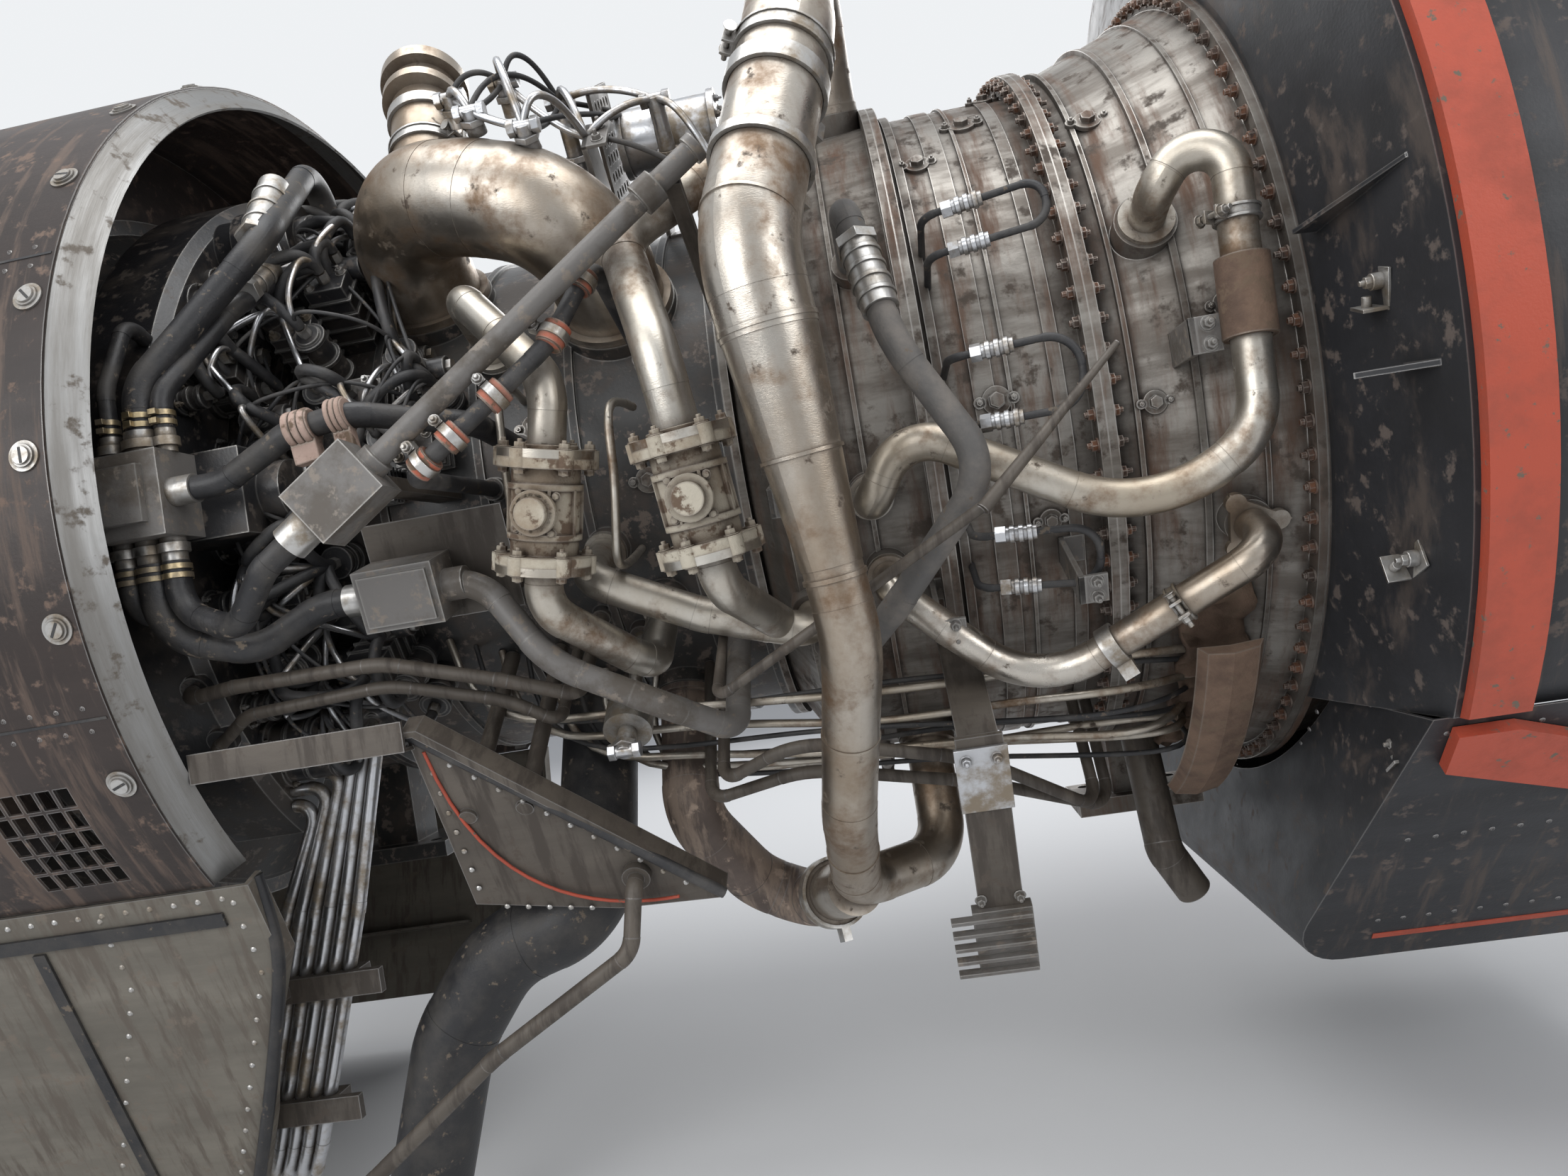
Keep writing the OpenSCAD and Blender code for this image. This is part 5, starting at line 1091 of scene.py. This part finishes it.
def clip(bm, place):
    """A bent tab with a bolt through its foot and a pin through its wall."""
    block(bm, place, 34, 24, 2.5)
    block(bm, shifted(place, x=15), 3, 24, 22)
    drum(bm, shifted(place, x=-6, z=2), 7, 9, sides=16)
    hex_nut(bm, shifted(place, x=-6, z=10), 5.4, 6, stud=4)
    drum(bm, turned(shifted(place, x=5, z=14), 90, "Y"), 4, 12, sides=12)


bm = bmesh.new()
# Each clip: angle, radius and turn
for angle, radius, turn in ((-24, 605, 20), (-70, 640, -50), (-2, 585, 70), (28, 625, 15),
                            (-42, 628, 120)):
    clip(bm, turned(facing(on_plate(angle, radius), (-1, 0, 0)), turn))
piece("bulkhead_clips", bm, "fitting_steel", bevel=0.4)

# %% [markdown]
# The sheet metal under the engine is riveted along its edges. Rubber strips cover two of the
# pylon's joints and its rear edge, and a fine red line follows the fairing and the keel.

# %% Pylon trim
side_z, side_y, side_slope, side_out = -391, -476, 0.372, (0, -0.937, -0.348)
rear_x, rear_corner, rear_sweep, row_gap, pylon_pitch = -1520, 0.22, 180, 150, 27


def on_pylon(x, z):
    """A place on the near side sheet of the pylon, which leans in towards its foot."""
    point = Vector((x, side_y + side_slope * (side_z - z), z)) * mm
    return facing(point, side_out)


rear_edge = [Vector(point) * mm for point in (
    (-1499, -457, -386), (-1493, -447, -450), (-1496, -443, -487),
    (-1542, -406, -585), (-1590, -371, -684), (-1641, -335, -780))]
wires("pylon_edge_strip", [rear_edge], 7, "hose_rubber")
bm, strips = bmesh.new(), bmesh.new()
for i in range(14):
    share = i / 13
    z = side_z - 18 - 360 * share
    x = rear_x - max(0, share - rear_corner) * rear_sweep
    rivet(bm, on_pylon(x, z), 3.4)
    rivet(bm, on_pylon(x - row_gap, z), 3.4)
for i in range(17):
    rivet(bm, on_pylon(rear_x - 10 - pylon_pitch * i, side_z - 12), 3.4)
block(strips, shifted(on_pylon(-1760, side_z - 34), z=-1), 450, 16, 4)
block(strips, shifted(on_pylon(-1752, side_z - 200), z=-1, turn=-90), 330, 14, 4)
piece("pylon_rivets", bm, "fitting_steel")
piece("pylon_strips", strips, "hose_rubber")

# %% Fairing and keel trim
fairing_top, fairing_low = Vector((-1290, -503, -264)) * mm, Vector((-1290, -407, -462)) * mm
fairing_mid, fairing_end = Vector((-1142, -394, -488)) * mm, Vector((-1025, -402, -484)) * mm
rim = [fairing_top, between(fairing_top, fairing_end, 0.5), fairing_end]
wires("fairing_rim", [rim], 6, "cable_black")
inside = between(fairing_low, fairing_end, 0.4)
line = [between(fairing_top, inside, 0.09), between(fairing_low, inside, 0.12),
        between(fairing_mid, inside, 0.1), between(fairing_end, inside, 0.3)]
fairing_out = Vector((0, -0.9, -0.436))
wires("fairing_red_line", [[p + fairing_out * 1.2 * mm for p in line]], 1.8, "seal_red")
bm = bmesh.new()
heart = between(fairing_low, fairing_end, 0.35)
for start, end, count in ((fairing_top, fairing_low, 8), (fairing_top, fairing_end, 12),
                          (fairing_low, fairing_mid, 6)):
    for i in range(1, count):
        point = between(between(start, end, i / count), heart, 0.1)
        rivet(bm, facing(point, fairing_out), 3.2)
piece("fairing_rivets", bm, "fitting_steel")

keel_out = Vector((0, -0.726, -0.688))
keel_y, keel_z, keel_slope = -540, -384, 0.948
bm, rivets = bmesh.new(), bmesh.new()
block(bm, facing(Vector((-205, -282, -656)) * mm, keel_out), 290, 9, 1.2)
for i in range(12):
    for z in (-400, -520, -632):
        y = keel_y + keel_slope * (keel_z - z)
        rivet(rivets, facing(Vector((-350 + 26 * i, y, z)) * mm, keel_out), 3)
piece("keel_red_line", bm, "seal_red")
piece("keel_rivets", rivets, "bulkhead_black")

# %% [markdown]
# Pipes need something to hold them: a bent plate on a foot, with two nuts on its top. The strap
# that hangs under the engine has a bright pad above and a finned clamp at its foot.

# %% Pipe brackets and the strap
bm = bmesh.new()
# Each bracket: x, angle, radius of its foot, radius of its top, and width
for x, angle, foot, top, width in ((-497, -2, 436, 506, 34), (-622, -27, 411, 508, 30),
                                   (-1052, 44, 329, 500, 60), (-1010, 66, 329, 470, 50),
                                   (-905, -12, 395, 470, 30), (-760, -30, 411, 500, 26)):
    place = station(x, angle, foot)
    block(bm, place, 6, width, top - foot)
    block(bm, shifted(place, x=11, z=top - foot - 4), 28, width, 4)
    for side in (-1, 1):
        nut = shifted(place, x=14, y=side * width * 0.28, z=top - foot)
        hex_nut(bm, nut, 5.5, 6, stud=5)
    block(bm, shifted(place, x=10, z=-1), 26, width, 5)
piece("pipe_brackets", bm, "cast_grey", bevel=0.6)

strap_top, strap_end = Vector((-744, -475.3, -351.1)) * mm, Vector((-744, -346.2, -621.9)) * mm
strap_out = Vector((0, -0.903, -0.430))


def on_strap(share):
    return facing(between(strap_top, strap_end, share), strap_out)


bm = bmesh.new()
block(bm, shifted(on_strap(0.16), z=-0.5), 52, 74, 4)
for x in (-15, 15):
    hex_nut(bm, shifted(on_strap(0.08), x=x, z=3), 5, 5, stud=3)
piece("strap_pad", bm, "tube_silver", bevel=0.5)
bm = bmesh.new()
block(bm, shifted(on_strap(0.84), z=-8), 62, 84, 14)
for i in range(5):
    block(bm, shifted(on_strap(0.72 + 0.06 * i), x=-12, z=4), 84, 5, 9)
for x in (-20, 20):
    hex_nut(bm, shifted(on_strap(0.66), x=x, z=0), 5, 6, stud=4)
piece("strap_foot", bm, "cast_grey", bevel=0.6)

# %% [markdown]
# Above the bleed duct stands a cluster of fittings: a ringed canister, tees on short stems, and
# the lines and wires that join one to the next.

# %% Top fittings and lines
bm = bmesh.new()
top_axis = facing(at(-1035, 58, 452), (1, 0, 0))
drum(bm, top_axis, 38, 120, sides=40)
for level in (0, 52, 112):
    collar(bm, shifted(top_axis, z=level), 37, 42, 8, sides=40)
for i in range(6):
    hex_nut(bm, beside(top_axis, i * 60, 30, z=120), 4.5, 5, stud=4)
# Each fitting: x, angle, radius of its foot, and height
for x, angle, foot, height in ((-1190, 47, 528, 34), (-1160, 42, 532, 28), (-1135, 50, 520, 40),
                               (-1215, 52, 520, 26), (-1100, 38, 520, 30), (-1100, -37, 515, 20),
                               (-1090, 55, 400, 120), (-975, 50, 400, 110)):
    place = station(x, angle, foot)
    drum(bm, place, 11, height, 9)
    drum(bm, shifted(place, z=height * 0.4), 14, 7, sides=6)
    across = turned(shifted(place, x=-14, z=height - 4), 90, "Y")
    drum(bm, across, 7, 28, sides=16)
    for end in (-3, 23):
        drum(bm, shifted(across, z=end), 9, 8, sides=6)
piece("top_fittings", bm, "tube_silver", bevel=0.5)

tops = [at(-1190, 47, 558), at(-1160, 42, 557), at(-1135, 50, 556), at(-1100, 38, 546),
        at(-1090, 55, 516), at(-1052, 44, 498), at(-1010, 66, 468), at(-975, 50, 506),
        at(-905, 40, 402)]
routes = []
for i, start in enumerate(tops):
    for end in tops[i + 1:i + 4]:
        middle = between(start, end, 0.5)
        out = Vector((0, middle.y, middle.z)).normalized() * draw.uniform(-12, 34) * mm
        near, far = between(start, end, 0.2) + out, between(start, end, 0.8) + out
        routes.append([start, near, middle + out * 1.5, far, end])
wires("top_lines", routes[0::2], 4.2, "tube_silver")
wires("top_wires", routes[1::2], 3.2, "cable_black")

# %% [markdown]
# Thin lines run along the underside of the cases, and a bent rod stands beside each valve. They
# are curves too, with a seeded wander, because no real bundle lies quite straight.

# %% Valve rods and lower lines
wires("valve_rods", [
    [at(-1040, 5, 400), at(-1042, 4, 470), at(-1044, 2, 508), at(-1044, -6, 506),
     at(-1058, -13, 506), at(-1072, -18, 470), at(-1074, -19, 330)],
    [at(-1180, 14, 330), at(-1176, 13, 420), at(-1168, 8, 452), at(-1172, -6, 450),
     at(-1180, -14, 430), at(-1184, -16, 330)],
], 4.6, "pipe_worn")

routes = []
for i in range(9):
    low = -40 - 2.4 * i
    lift = draw.uniform(20, 90)
    route = [at(-1330 + 28 * i, low + 8, core_r)]
    for x in (-1290, -1140, -1000, -860, -720, -600):
        route.append(at(x + 18 * i, low + draw.uniform(-2.5, 2.5), 440 + lift * (x + 1330) / 730))
    route.append(at(-470 - 6 * i, low - 4, 452))
    routes.append(route)
wires("lower_lines", routes[0::2], 4.5, "pipe_worn")
wires("lower_wires", routes[1::2], 3, "cable_black")

# %% [markdown]
# A strip of baked insulation hangs from the rear joint. It is one bent sheet: a grid of points
# round the case with a little crumple, which Solidify makes thick.

# %% Baked strip
rows, columns, strip_t = 34, 6, 9
strip_x, strip_r, column_step = -512, 455, 13
first_angle, row_angle = -33, 1.15
bm = bmesh.new()
grid = []
for i in range(rows):
    row = []
    for j in range(columns):
        x = strip_x + column_step * j + 5 * math.sin(i * 0.9) + draw.uniform(-2, 2)
        crumple = draw.uniform(0, 14)
        row.append(bm.verts.new(at(x, first_angle - row_angle * i, strip_r + crumple)))
    grid.append(row)
for i in range(rows - 1):
    for j in range(columns - 1):
        bm.faces.new((grid[i][j], grid[i][j + 1], grid[i + 1][j + 1], grid[i + 1][j]))
strip = piece("baked_strip", bm, "insulation", smooth_below=60)
skin = strip.modifiers.new("thickness", "SOLIDIFY")
skin.thickness = strip_t * mm
skin.offset = 0

# %% [markdown]
